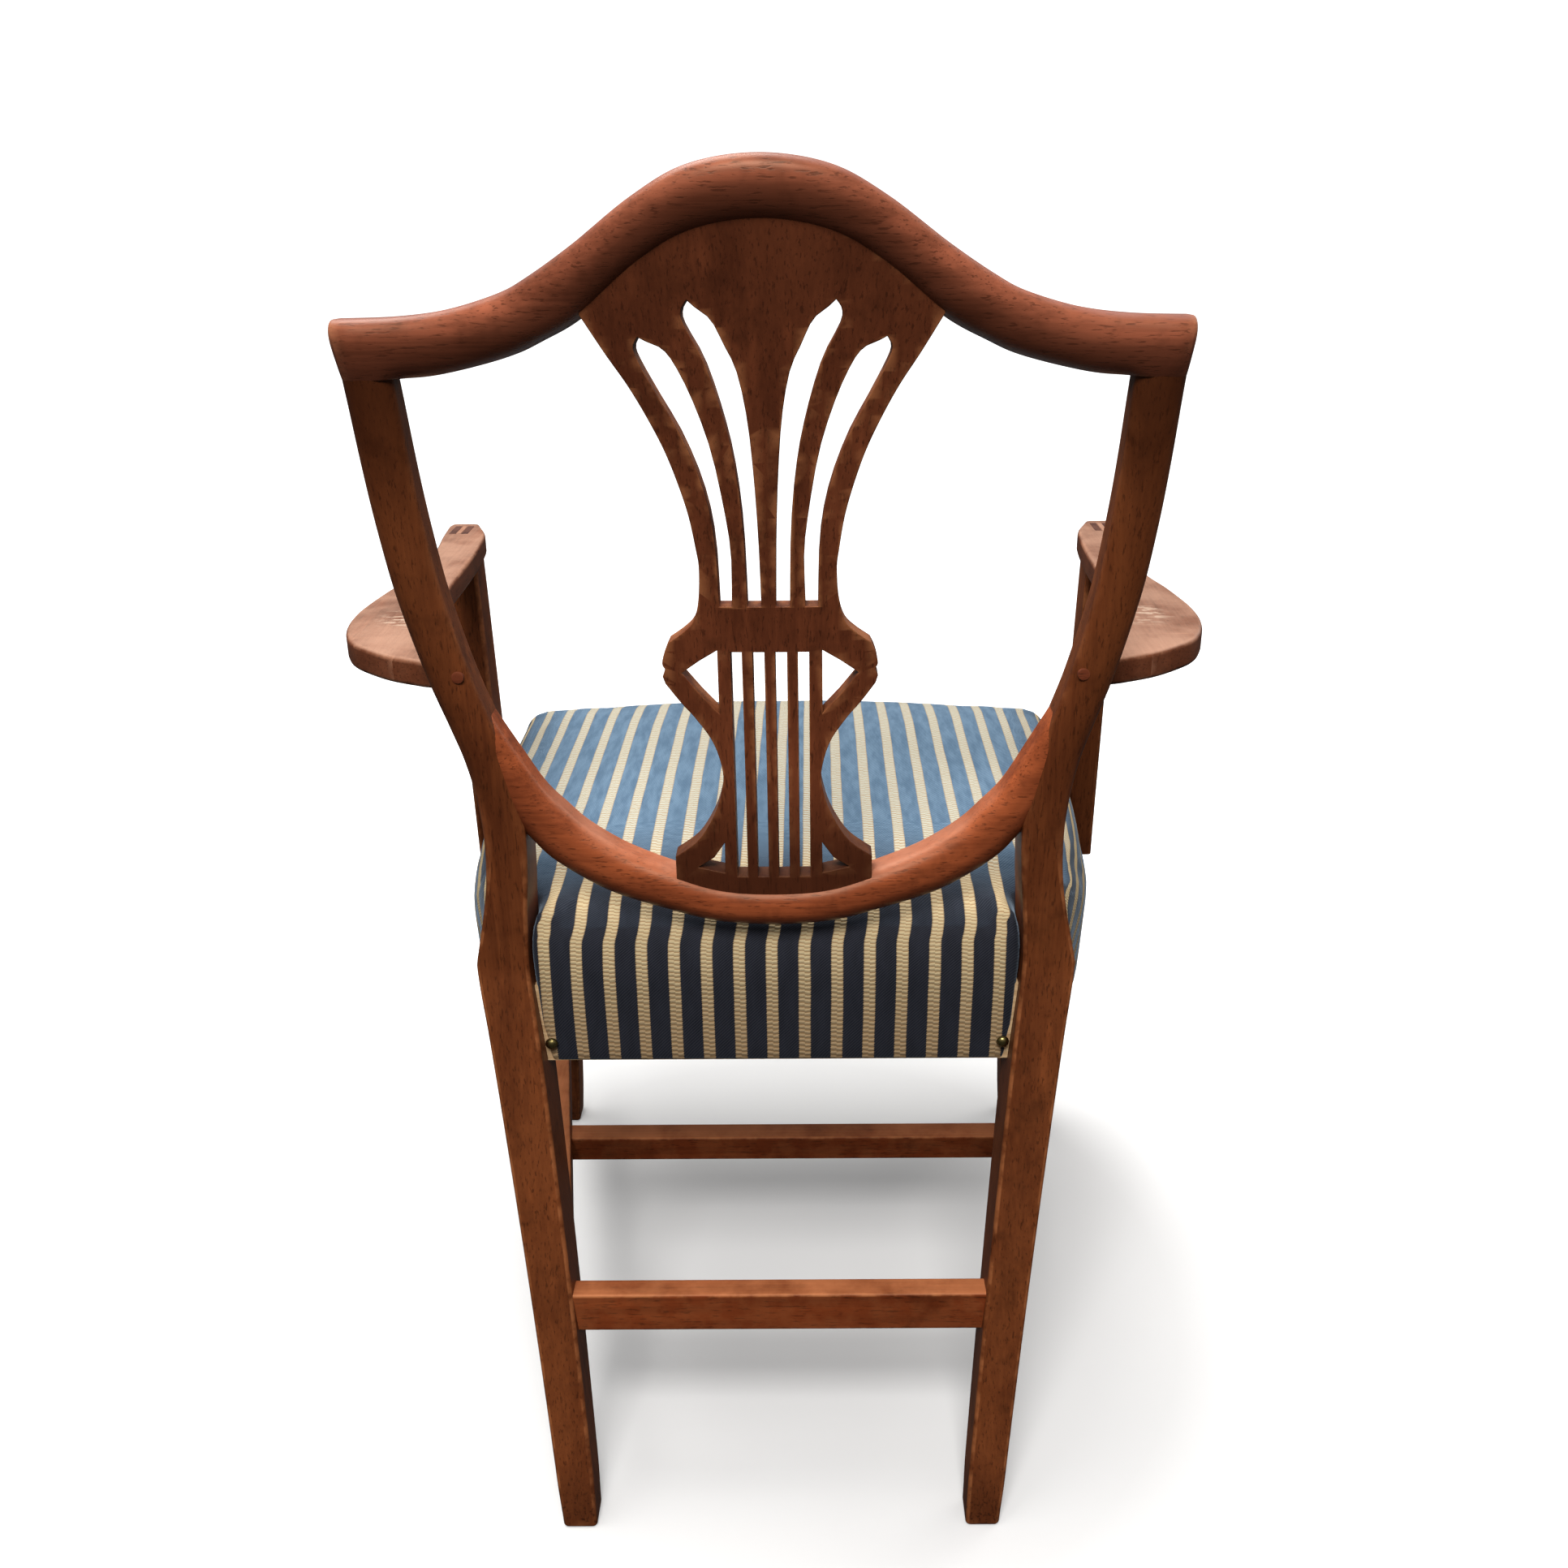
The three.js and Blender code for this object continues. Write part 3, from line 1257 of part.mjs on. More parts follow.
for (const [side, turn] of sides) {
  addPiece(`rear_leg_${side}`, turn(finishedRearLeg), colours.mahogany);
  addPiece(`front_leg_${side}`, turn(finishedFrontLeg), colours.mahogany);
  addPiece(`side_seat_rail_${side}`, turn(sideRail), colours.beech);
  addPiece(`side_stretcher_${side}`, turn(sideStretcher), colours.mahogany);
  addPiece(`arm_${side}`, turn(arm), colours.paleWood);
  addPiece(`arm_post_${side}`, turn(post), colours.mahogany);
  addPiece(`post_tenon_wedge_${side}`, turn(wedgeBody(0)), colours.paleWood);
  addPiece(`arm_screw_${side}`, turn(armScrew(0)), colours.steel);
  addPiece(`arm_screw_plug_${side}`, turn(armPlug(0)), colours.darkMahogany);
  addPiece(`cover_nail_${side}`, turn(nail), colours.brass);
  postScrewSteps.forEach((step, i) => {
    addPiece(`post_screw_${side}_${i + 1}`, turn(postScrew(step, 0)), colours.steel);
  });
  const corners = [['front', frontBlockRaw], ['rear', rearBlockRaw]];
  for (const [corner, raw] of corners) {
    addPiece(`corner_block_${corner}_${side}`, turn(cut(raw, ...blockScrewTools[corner])), colours.beech);
    blockScrews[corner].forEach(([place, aim], i) => {
      addPiece(`block_screw_${corner}_${side}_${i + 1}`, turn(blockScrew(place, aim, 0)), colours.steel);
    });
  }
}
addPiece('crest_rail', crest, colours.mahogany);
addPiece('lower_shield_rail', lowerRail, colours.mahogany);
addPiece('splat', splatBody(0, splatHoles()), colours.darkMahogany);
addPiece('front_seat_rail', frontRail, colours.beech);
addPiece('rear_seat_rail', rearRail, colours.beech);
addPiece('rear_stretcher', rearStretcher, colours.mahogany);
addPiece('medial_stretcher', medialStretcher, colours.mahogany);

const webbingPlaceShares = [-1, 0, 1];
const [longWebShare, crossWebShare] = [0.4, 0.23];
const longWebSpacing = frontHalfWidth * longWebShare;
const crossWebSpacing = seatFrameDepth * crossWebShare;
webbingPlaceShares.forEach((share, i) => {
  const x = share * longWebSpacing;
  addPiece(`webbing_long_${i + 1}`, block(
    [x - webbingWidth / 2, -seatFrameDepth + padInset, longWebBottom],
    [x + webbingWidth / 2, rearRailBack - padInset, longWebBottom + webbingThickness],
  ), colours.jute);
  const y = -seatFrameDepth / 2 + share * crossWebSpacing;
  const reach = sideAt(y + webbingWidth / 2) - padInset;
  addPiece(`webbing_cross_${i + 1}`, block(
    [-reach, y - webbingWidth / 2, crossWebBottom],
    [reach, y + webbingWidth / 2, crossWebBottom + webbingThickness],
  ), colours.jute);
});
addPiece(
  'base_cloth',
  ringPlate(coverOut + padInset / 2, baseClothBottom, baseClothBottom + baseClothThickness),
  colours.jute,
);
addPiece('stuffing_pad', loft(upholsteryRings(coverOut, padBottom)), colours.wadding);
addPiece('seat_cover', cover, colours.stripes);
const dustClothTop = seatBottom - fitGap;
addPiece('dust_cloth', cut(
  ringPlate(coverOut + dustClothInset, dustClothTop - dustClothThickness, dustClothTop),
  ...bothFrontLegTools, ...bothRearLegTools,
), colours.blackCloth);

// Stand the chair on the floor with its middle over the origin
const extent = new THREE.Box3().setFromObject(chair);
const middle = extent.getCenter(new THREE.Vector3());
chair.position.set(-middle.x, -middle.y, -extent.min.z);

const group = new THREE.Group();
group.add(chair);

export default group;
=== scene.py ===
# A mahogany armchair with a shield back and a striped seat, in metres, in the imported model's
# frame: +Z is up, +Y is the back of the chair, and +X is on the left of the photo.
import math

import bmesh
import bpy
from mathutils import Matrix, Vector


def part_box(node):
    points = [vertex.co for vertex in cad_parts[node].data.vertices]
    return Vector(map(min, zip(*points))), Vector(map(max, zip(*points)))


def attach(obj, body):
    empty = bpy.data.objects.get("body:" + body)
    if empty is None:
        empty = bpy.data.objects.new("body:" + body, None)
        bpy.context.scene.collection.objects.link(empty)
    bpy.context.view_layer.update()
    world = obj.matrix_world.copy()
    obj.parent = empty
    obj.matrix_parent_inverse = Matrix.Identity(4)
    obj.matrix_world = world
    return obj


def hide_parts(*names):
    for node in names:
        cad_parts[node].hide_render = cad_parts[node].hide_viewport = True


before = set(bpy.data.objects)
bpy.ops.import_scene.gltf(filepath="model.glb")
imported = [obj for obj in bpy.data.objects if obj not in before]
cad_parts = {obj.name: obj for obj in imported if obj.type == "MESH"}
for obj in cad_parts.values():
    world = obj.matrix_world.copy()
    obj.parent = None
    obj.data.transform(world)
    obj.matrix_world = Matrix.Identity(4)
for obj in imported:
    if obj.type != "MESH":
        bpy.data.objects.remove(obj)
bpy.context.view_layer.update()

# The camera stands behind the chair, a little above the crest, and looks down on it. Its place
# comes from the feet, the ears and the crest in the photo. The image is taken as 1932 x 1932.
image_side = 1932
focal_pixels = 1694.64
axis_pixel = (1000.71, 938.38)
sensor_width = 36.0
camera_pitch = math.radians(20.57)
camera_roll = math.radians(-0.30)
camera_place = (-0.02649, 1.04873, 0.91467)
looking = Vector((0, -math.cos(camera_pitch), -math.sin(camera_pitch)))
level_right = looking.cross(Vector((0, 0, 1))).normalized()
level_up = level_right.cross(looking)
camera_right = level_right * math.cos(camera_roll) + level_up * math.sin(camera_roll)
camera_up = level_up * math.cos(camera_roll) - level_right * math.sin(camera_roll)
lens = bpy.data.cameras.new("photo_camera")
lens.sensor_width = sensor_width
lens.lens = focal_pixels / image_side * sensor_width
lens.shift_x = (image_side / 2 - axis_pixel[0]) / image_side
lens.shift_y = (axis_pixel[1] - image_side / 2) / image_side


def placed(name, data):
    thing = bpy.data.objects.new(name, data)
    bpy.context.scene.collection.objects.link(thing)
    return thing


camera = placed("photo_camera", lens)
turned = Matrix((camera_right, camera_up, -looking)).transposed().to_4x4()
camera.matrix_world = Matrix.Translation(camera_place) @ turned
bpy.context.scene.camera = camera

# The studio: a pale floor that curves up into a round wall, a broad soft light overhead and
# another high up behind the camera. The floor and wall glow and throw no light on the chair, so
# they stay pale round it while its undersides stay dark.


class Socket:
    """A socket of a material, written in sums as if it were a number."""

    def __init__(self, tree, link=None):
        self.tree = tree
        self.link = link

    def node(self, kind, settings=(), inputs=(), output=0):
        made = self.tree.nodes.new("ShaderNode" + kind)
        for key, value in dict(settings).items():
            if key == "stops":
                ramp = made.color_ramp.elements
                while len(ramp) < len(value):
                    ramp.new(1)
                for stop, (place, colour) in zip(ramp, value):
                    stop.position, stop.color = place, (*colour, 1)
            else:
                setattr(made, key, value)
        for key, value in dict(inputs).items():
            self.feed(made.inputs[key], value)
        return Socket(self.tree, made.outputs[output])

    def feed(self, target, value):
        if isinstance(value, Socket):
            self.tree.links.new(value.link, target)
        elif target.type == "RGBA" and len(value) == 3:
            target.default_value = (*value, 1)
        else:
            target.default_value = value

    def sum(self, operation, *values):
        return self.node("Math", {"operation": operation}, dict(enumerate(values)))

    def __add__(self, other):
        return self.sum("ADD", self, other)

    def __sub__(self, other):
        return self.sum("SUBTRACT", self, other)

    def __rsub__(self, other):
        return self.sum("SUBTRACT", other, self)

    def __mul__(self, other):
        return self.sum("MULTIPLY", self, other)

    def __truediv__(self, other):
        return self.sum("DIVIDE", self, other)

    __radd__, __rmul__ = __add__, __mul__

    def part(self, axis):
        """One of the three parts of this vector."""
        return self.node("SeparateXYZ", {}, {0: self}, axis)

    def between(self, low, high):
        limits = {"Value": self, "From Min": low, "From Max": high}
        return self.node("MapRange", {"interpolation_type": "SMOOTHSTEP"}, limits)

    def blend(self, first, second):
        """This value as the share of the second colour over the first."""
        return self.node("Mix", {"data_type": "RGBA"}, {0: self, 6: first, 7: second}, 2)

    def noise(self, place, scale, detail=2.0, roughness=0.5):
        settings = {"Vector": place, "Scale": scale, "Detail": detail, "Roughness": roughness}
        return self.node("TexNoise", {}, settings)

    def stretched(self, place, scale, shift=(0, 0, 0)):
        return self.node("Mapping", {}, {"Vector": place, "Scale": scale, "Location": shift})


def finish(name, constants):
    """A new material, its shader, a start for its sums, and the place on the object."""
    material = bpy.data.materials.new(name)
    material.use_nodes = True
    shader = material.node_tree.nodes["Principled BSDF"]
    for socket, value in constants.items():
        shader.inputs[socket].default_value = value
    s = Socket(material.node_tree)
    return material, shader, s, s.node("TexCoord", output="Object")


def surface(shader, colour, roughness, relief=None, strength=0.0, depth=0.0):
    """Feeds a shader its colour, its roughness and its relief."""
    colour.feed(shader.inputs["Base Color"], colour)
    colour.feed(shader.inputs["Roughness"], roughness)
    if relief:
        raised = {"Height": relief, "Strength": strength, "Distance": depth}
        colour.feed(shader.inputs["Normal"], colour.node("Bump", {}, raised))


sweep_rows = [(0.5, 0), (1.5, 0), (3, 0), (4, 0.08), (4.7, 0.45), (5.1, 1.2), (5.3, 2.6), (5.3, 5)]
sweep_sides = 64
sweep_points = [
    (out * math.cos(2 * math.pi * k / sweep_sides), out * math.sin(2 * math.pi * k / sweep_sides), z)
    for out, z in sweep_rows for k in range(sweep_sides)
]
sweep_faces = [tuple(range(sweep_sides))]
for r in range(len(sweep_rows) - 1):
    for k in range(sweep_sides):
        a, b = r * sweep_sides + k, r * sweep_sides + (k + 1) % sweep_sides
        sweep_faces.append((a, a + sweep_sides, b + sweep_sides, b))
sweep_mesh = bpy.data.meshes.new("floor_sweep")
sweep_mesh.from_pydata(sweep_points, [], sweep_faces)
sweep_mesh.shade_smooth()
sweep = placed("floor_sweep", sweep_mesh)
sweep.visible_diffuse = False
sweep.visible_glossy = False
sweep.visible_shadow = False
sweep_paint, sweep_shader, s, place = finish("floor_paint", {
    "Base Color": (0.76, 0.76, 0.76, 1), "Roughness": 0.9, "Specular IOR Level": 0.0,
    "Emission Strength": 1.0,
})
from_middle = s.node("VectorMath", {"operation": "LENGTH"}, {0: place}, "Value")
ramp_reach = 2.0
glow_stops = [(0.36 / ramp_reach, (0.07, 0.07, 0.07)), (0.95 / ramp_reach, (1.0, 1.0, 1.0))]
glow = s.node("ValToRGB", {"stops": glow_stops}, {0: from_middle * (1 / ramp_reach)})
s.feed(sweep_shader.inputs["Emission Color"], glow)
sweep_mesh.materials.append(sweep_paint)


def softbox(name, place, target, size, power, colour):
    light = bpy.data.lights.new(name, "AREA")
    light.shape = "RECTANGLE"
    light.size, light.size_y = size
    light.energy = power
    light.color = colour
    lamp = placed(name, light)
    aim = Vector(target) - Vector(place)
    lamp.matrix_world = Matrix.Translation(place) @ aim.to_track_quat("-Z", "Y").to_matrix().to_4x4()


softbox("overhead_light", (0.5, -0.4, 2.6), (0, -0.05, 0.45), (1.5, 1.4), 56, (1.0, 0.99, 0.97))
softbox("rear_light", (0.15, 1.85, 2.35), (0, 0.05, 0.5), (1.1, 0.8), 66, (1.0, 0.98, 0.96))
softbox("side_light", (-1.7, -1.2, 1.5), (0, 0, 0.6), (0.9, 1.2), 9, (1.0, 0.96, 0.92))
world = bpy.data.worlds.new("studio")
world.use_nodes = True
background = world.node_tree.nodes["Background"]
background.inputs["Color"].default_value = (1, 1, 1, 1)
s = Socket(world.node_tree)
upward = s.node("TexCoord", output="Generated").part(2)
brightness = {"Value": upward, "From Min": 0.0, "From Max": 0.85, "To Min": 0.07, "To Max": 0.58}
s.feed(background.inputs["Strength"], s.node("MapRange", {}, brightness))
bpy.context.scene.world = world
bpy.context.scene.view_settings.view_transform = "Standard"

# The rear legs: each is sawn in one piece from the foot, through the knee and the slim neck, up
# to the ear of the shield. The legs are square, and the stiles are rounded towards the back.
knee_height = 0.434
neck_height = 0.535
crest_joint_height = 0.843
arm_height = 0.657
knee_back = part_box("rear_seat_rail")[1][1] + 0.006
foot_half, knee_half, neck_half, ear_half = 0.1665, 0.213, 0.199, 0.2444
foot_width, knee_width, neck_width, stile_width = 0.027, 0.0375, 0.029, 0.030
leg_shares = [0, 0.3, 0.6, 0.88]
knee_to_neck = [(0, 1, 1), (0.12, 0.86, 0.8), (0.41, 0.41, 0.24), (0.67, 0.1, 0)]
neck_to_ear = [
    (0, 0, 0), (0.1, 0.056, 0), (0.19, 0.168, 0), (0.26, 0.3, 0), (0.38, 0.533, 0),
    (0.56, 0.79, 0.4), (0.7, 0.904, 0.7), (0.83, 0.964, 0.8), (1, 1, 1),
]


def lerp(low, high, share):
    return low + (high - low) * share


def ease(value, low, high):
    share = min(max((value - low) / (high - low), 0), 1)
    return share * share * (3 - 2 * share)


def flowing(rows, place):
    """The value at one place of rows of (place, value), on a smooth run through them."""
    if place <= rows[0][0]:
        return rows[0][1]
    if place >= rows[-1][0]:
        return rows[-1][1]
    k = next(i for i in range(1, len(rows)) if rows[i][0] >= place)
    slopes = []
    for i in (k - 1, k):
        before, after = rows[max(i - 1, 0)], rows[min(i + 1, len(rows) - 1)]
        slopes.append((after[1] - before[1]) / (after[0] - before[0]))
    span = rows[k][0] - rows[k - 1][0]
    t = (place - rows[k - 1][0]) / span
    start = (1 + 2 * t) * (1 - t) ** 2 * rows[k - 1][1] + t * (1 - t) ** 2 * span * slopes[0]
    return start + t * t * (3 - 2 * t) * rows[k][1] + t * t * (t - 1) * span * slopes[1]


outer_rows = [(knee_height * s, lerp(foot_half, knee_half, s)) for s in leg_shares]
width_rows = [(knee_height * s, lerp(foot_width, knee_width, s)) for s in leg_shares]
for rise, out, wide in knee_to_neck:
    z = lerp(knee_height, neck_height, rise)
    outer_rows.append((z, lerp(neck_half, knee_half, out)))
    width_rows.append((z, lerp(neck_width, knee_width, wide)))
for rise, out, wide in neck_to_ear:
    z = lerp(neck_height, crest_joint_height, rise)
    outer_rows.append((z, lerp(neck_half, ear_half, out)))
    width_rows.append((z, lerp(neck_width, stile_width, wide)))
depth_rows = [
    (0, 0.026), (knee_height, 0.046), (neck_height, 0.034), (arm_height, 0.028), (crest_joint_height, 0.022),
]
stile_set_in, stile_into_crest = 0.004, 0.0004
stile_round_across, stile_round_deep = 0.0135, 0.0085
rounding_start, rounding_full = 0.4845, 0.60
back_edge, front_edge_round = 0.0030, 0.0025
foot_rake = 0.088
back_radius = 1.6
back_bow, bow_half_width = 0.015, 0.190


def back_arc(z):
    """How far back the rear faces lie at one height."""
    if z > knee_height:
        return knee_back + (z - knee_height) ** 2 / (2 * back_radius)
    drop = (knee_height - z) / knee_height
    return knee_back + foot_rake * (0.67 * drop + 0.33 * drop * drop)


def back_surface(x, z):
    """The shield is also hollowed a little for the sitter's back."""
    reach = min(abs(x) / bow_half_width, 1)
    return back_arc(z) + back_bow * (1 - reach * reach) ** 2


def leg_at(z):
    outer = flowing(outer_rows, z)
    rear = back_arc(z) - stile_set_in * ease(z, arm_height, crest_joint_height)
    return outer, outer - flowing(width_rows, z), rear, rear - flowing(depth_rows, z)


def rounded(width, depth, back, front, steps):
    """A section as (across, deep) points: its outer back, inner back, inner front and outer front
    corners, each rounded by an (across, deep) radius."""
    turns = [math.pi / 2 * k / steps for k in range(steps + 1)]
    bx, by = back
    fx, fy = front
    ring = [(bx - bx * math.cos(t), by - by * math.sin(t)) for t in turns]
    ring += [(width - bx + bx * math.sin(t), by - by * math.cos(t)) for t in turns]
    ring += [(width - fx + fx * math.cos(t), depth - fy + fy * math.sin(t)) for t in turns]
    ring += [(fx - fx * math.sin(t), depth - fy + fy * math.cos(t)) for t in turns]
    return ring


def loft(name, rings):
    """A closed skin through rings of equally many points, with its worn places marked."""
    mesh = bpy.data.meshes.new(name)
    count = len(rings[0])
    faces = [tuple(range(count)), tuple((len(rings) - 1) * count + i for i in range(count))]
    for r in range(len(rings) - 1):
        for i in range(count):
            a, b = r * count + i, r * count + (i + 1) % count
            faces.append((a, b, b + count, a + count))
    mesh.from_pydata([p for ring in rings for p in ring], [], faces)
    return tidied(mesh)


def tidied(mesh):
    """Normals outwards, smooth shading, and 'wear' on the edges that hands and cloths rub."""
    shape = bmesh.new()
    shape.from_mesh(mesh)
    bmesh.ops.remove_doubles(shape, verts=shape.verts, dist=1e-6)
    bmesh.ops.recalc_face_normals(shape, faces=shape.faces)
    least_bend, bend_span, sharp_angle = 35, 120, 0.9
    wear = []
    for v in shape.verts:
        bends = []
        for e in v.link_edges:
            run = e.other_vert(v).co - v.co
            bends.append(-2 * run.dot(v.normal) / max(run.length_squared, 1e-9))
        wear.append(min(max((sum(bends) / max(len(bends), 1) - least_bend) / bend_span, 0), 1))
    for e in shape.edges:
        e.smooth = len(e.link_faces) == 2 and e.calc_face_angle() < sharp_angle
    shape.to_mesh(mesh)
    shape.free()
    kept = mesh.attributes.get("wear") or mesh.attributes.new("wear", "FLOAT", "POINT")
    kept.data.foreach_set("value", wear)
    mesh.shade_smooth()
    return mesh


def fitted(name, mesh, material, replacing=True):
    """Puts a piece in the scene, on the chair, in the place of the CAD node of its name."""
    mesh.materials.append(material)
    thing = placed(f"finished_{name}", mesh)
    even = thing.modifiers.new("even_shading", "WEIGHTED_NORMAL")
    even.weight = 70
    even.keep_sharp = True
    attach(thing, "root")
    if replacing:
        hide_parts(name)


def mahogany(name, along, deep, warm, worn, seed, polish=0.40, **marks):
    """Old polished mahogany: long grain, short dark pores, uneven polish, rubbed edges, and painted
    shade on faces that turn down. The marks may be the upper colour, a painted highlight with some
    rubbed wear on faces that turn up; heights between which it is scuffed; heights and a share of
    painted shade that darkens it between them; and a scratched spot."""
    gloss = {"Specular IOR Level": 0.24, "Specular Tint": (1.0, 0.72, 0.52, 1)}
    material, shader, s, place = finish(name, gloss)
    lengthwise = [1.0, 1.0, 1.0]
    lengthwise["XYZ".index(along)] = 0.07
    plank = s.stretched(place, lengthwise, (seed, seed * 0.7, seed * 1.3))
    lengthwise["XYZ".index(along)] = 0.02
    fibre = s.stretched(place, lengthwise, (seed * 0.4, seed, seed * 0.9))
    lengthwise["XYZ".index(along)] = 0.12
    short = s.stretched(place, lengthwise, (seed * 0.3, seed * 0.6, seed))
    figure = s.noise(plank, 34, 3, 0.55)
    grain = s.noise(fibre, 420, 3, 0.6)
    pores = s.noise(short, 760, 2, 0.6).between(0.56, 0.68)
    patches = s.noise(place, 9, 3, 0.6)
    grime = s.noise(place, 24, 4, 0.7).between(0.50, 0.72)
    glow = s.noise(plank, 60, 3, 0.6).between(0.54, 0.74)
    facing_up = s.node("NewGeometry", output="Normal").part(2)
    wear = s.node("Attribute", {"attribute_name": "wear"}, output="Fac")
    rubbed = wear * s.noise(place, 60, 3, 0.6).between(0.35, 0.65)
    tone = figure.between(0.30, 0.70) * 0.5 + grain.between(0.25, 0.75) * 0.3
    tone = tone + patches.between(0.3, 0.7) * 0.2
    dark = [c * 0.38 for c in deep]
    colour = tone.blend(deep, warm)
    colour = (glow * 0.40).blend(colour, [c * 1.45 for c in warm])
    colour = (grime * 0.45).blend(colour, dark)
    colour = (pores * 0.62).blend(colour, dark)
    # Painted shade: faces that turn down, such as undersides and the leaning tops of the stiles, go darker.
    colour = (facing_up.between(0.06, -0.42) * 0.62).blend(colour, dark)
    colour = (rubbed * 0.55).blend(colour, worn)
    # Painted highlight: faces that turn up take the upper colour in patches along the grain, partly rubbed
    # wear and partly painted light from above.
    if "upper" in marks:
        sheen_and_rubbing = s.noise(place, 17, 5, 0.6).between(0.25, 0.66) * 0.60 + grain * 0.30
        colour = (facing_up.between(0.45, 0.95) * sheen_and_rubbing).blend(colour, marks["upper"])
    if "scuffed" in marks:
        low = 1 - place.part(2).between(*marks["scuffed"])
        pits = s.noise(place, 420, 2).between(0.58, 0.66)
        colour = (low * (0.35 + pits * 0.5)).blend(colour, [c * 0.35 for c in deep])
    # Painted shade: darker between two heights, where parts meet.
    if "dimmed" in marks:
        low, high, share = marks["dimmed"]
        colour = (place.part(2).between(low, high) * share).blend(colour, dark)
    if "scratched" in marks:
        x, y, reach = marks["scratched"]
        aside = s.sum("ABSOLUTE", place.part(0)) - x
        ahead = place.part(1) - y
        near = s.sum("SQRT", aside * aside + ahead * ahead).between(reach, reach * 0.3)
        lines = s.noise(s.stretched(place, (0.3, 1, 1)), 230, 4, 0.65).between(0.50, 0.60)
        colour = (near * lines * facing_up.between(0.5, 0.9) * 0.65).blend(colour, (0.60, 0.45, 0.34))
    roughness = polish + patches * 0.16 - grain * 0.06 + rubbed * 0.08
    surface(shader, colour, roughness, grain * 0.5 + pores * -0.6 + figure * 0.25, 0.18, 0.0006)
    return material


leg_wood = mahogany(
    "leg_mahogany", "Z", (0.070, 0.016, 0.005), (0.190, 0.052, 0.015), (0.40, 0.14, 0.05), 1.7,
    # painted shade at the tops of the stiles, under the ears of the crest
    scuffed=(0.008, 0.055), dimmed=(0.74, 0.835, 0.6),
)
leg_stations = 150
foot_rounding = 0.003
foot_rows = [0.0, 0.0002, 0.0006, 0.0012, 0.002, 0.003]
both_sides = (("left", 1), ("right", -1))


def foot_shrink(z):
    """How far the faces of a leg stand back near the floor: worn corners, then a slight taper."""
    rest = foot_rounding - min(z, foot_rounding)
    return foot_rounding - math.sqrt(foot_rounding ** 2 - rest ** 2) + 0.0007 * (1 - ease(z, 0, 0.035))


for side, sign in both_sides:
    rings = []
    heights = foot_rows + [
        lerp(0.007, crest_joint_height + stile_into_crest, k / leg_stations) for k in range(leg_stations + 1)
    ]
    for z in heights:
        outer, inner, rear, front = leg_at(z)
        shrink = foot_shrink(z)
        rounding = ease(z, rounding_start, rounding_full)
        ring = rounded(
            outer - inner - 2 * shrink, rear - front - 2 * shrink,
            (lerp(back_edge, stile_round_across, rounding), lerp(back_edge, stile_round_deep, rounding)),
            (lerp(front_edge_round, back_edge, rounding), front_edge_round), 7,
        )
        rings.append([(sign * (outer - shrink - a), rear - shrink - d, z) for a, d in ring])
    leg_mesh = loft(f"rear_leg_{side}", rings)
    for v, mark in zip(leg_mesh.vertices, leg_mesh.attributes["wear"].data):
        mark.value *= 1 - ease(v.co.z, crest_joint_height - 0.03, crest_joint_height - 0.008)
    fitted(f"rear_leg_{side}", leg_mesh, leg_wood)

# The front legs: square, and tapered on their two inner faces. Their tops stand inside the
# corners of the seat, under the cover.
front_half = 0.262
seat_depth = 0.4615
front_face = knee_back - seat_depth
front_foot_size, front_leg_size = 0.028, 0.042
seat_bottom = 0.355
seat_frame_top = 0.417
for side, sign in both_sides:
    rings = []
    for z in foot_rows + [0.01, 0.02, 0.035, 0.1, 0.2, 0.3, seat_bottom, seat_frame_top]:
        size = lerp(front_foot_size, front_leg_size, min(z / seat_bottom, 1))
        shrink = foot_shrink(z)
        corner = (front_edge_round, front_edge_round)
        ring = rounded(size - 2 * shrink, size - 2 * shrink, corner, corner, 5)
        rings.append([(sign * (front_half - shrink - a), front_face + size - shrink - d, z) for a, d in ring])
    fitted(f"front_leg_{side}", loft(f"front_leg_{side}", rings), leg_wood)

# The stretchers: plain bars with softened edges. The rear one stands higher than the side ones,
# and the medial one joins the two sides under the middle of the seat.
bar_round = (0.0022, 0.0022)
bar_thick, medial_thick = 0.018, 0.022
bar_in_leg = 0.004
side_bottom, side_top = 0.138, 0.171
medial_bottom, medial_top = 0.1425, 0.166
rear_bottom, rear_top = 0.148, 0.181


def bar(name, start, end, thickness, bottom, top, material):
    run = (end - start).normalized()
    across = Vector((-run.y, run.x, 0))
    rings = []
    for k in range(13):
        middle = start.lerp(end, k / 12)
        ring = rounded(thickness, top - bottom, bar_round, bar_round, 4)
        rings.append([
            tuple(middle + across * (a - thickness / 2) + Vector((0, 0, bottom + d - middle.z)))
            for a, d in ring
        ])
    fitted(name, loft(name, rings), material)


side_bar_wood = mahogany(
    "side_bar_mahogany", "Y", (0.10, 0.021, 0.006), (0.26, 0.060, 0.016), (0.48, 0.18, 0.06), 3.1, 0.38,
    # upper: painted highlight on the tops of the side stretchers
    upper=(0.62, 0.22, 0.09),
)
cross_bar_wood = mahogany(
    "cross_bar_mahogany", "X", (0.10, 0.019, 0.0055), (0.245, 0.050, 0.013), (0.50, 0.18, 0.065), 5.3, 0.38,
    # upper: painted highlight on the tops of the rear and medial stretchers
    upper=(0.60, 0.21, 0.085),
)
outer, inner, _, front = leg_at((side_bottom + side_top) / 2)
side_size = lerp(front_foot_size, front_leg_size, (side_bottom + side_top) / 2 / seat_bottom)
for side, sign in both_sides:
    start = Vector((sign * (outer + inner) / 2, front + bar_in_leg, 0))
    end = Vector((sign * (front_half - side_size / 2), front_face + side_size - bar_in_leg, 0))
    bar(f"side_stretcher_{side}", start, end, bar_thick, side_bottom, side_top, side_bar_wood)
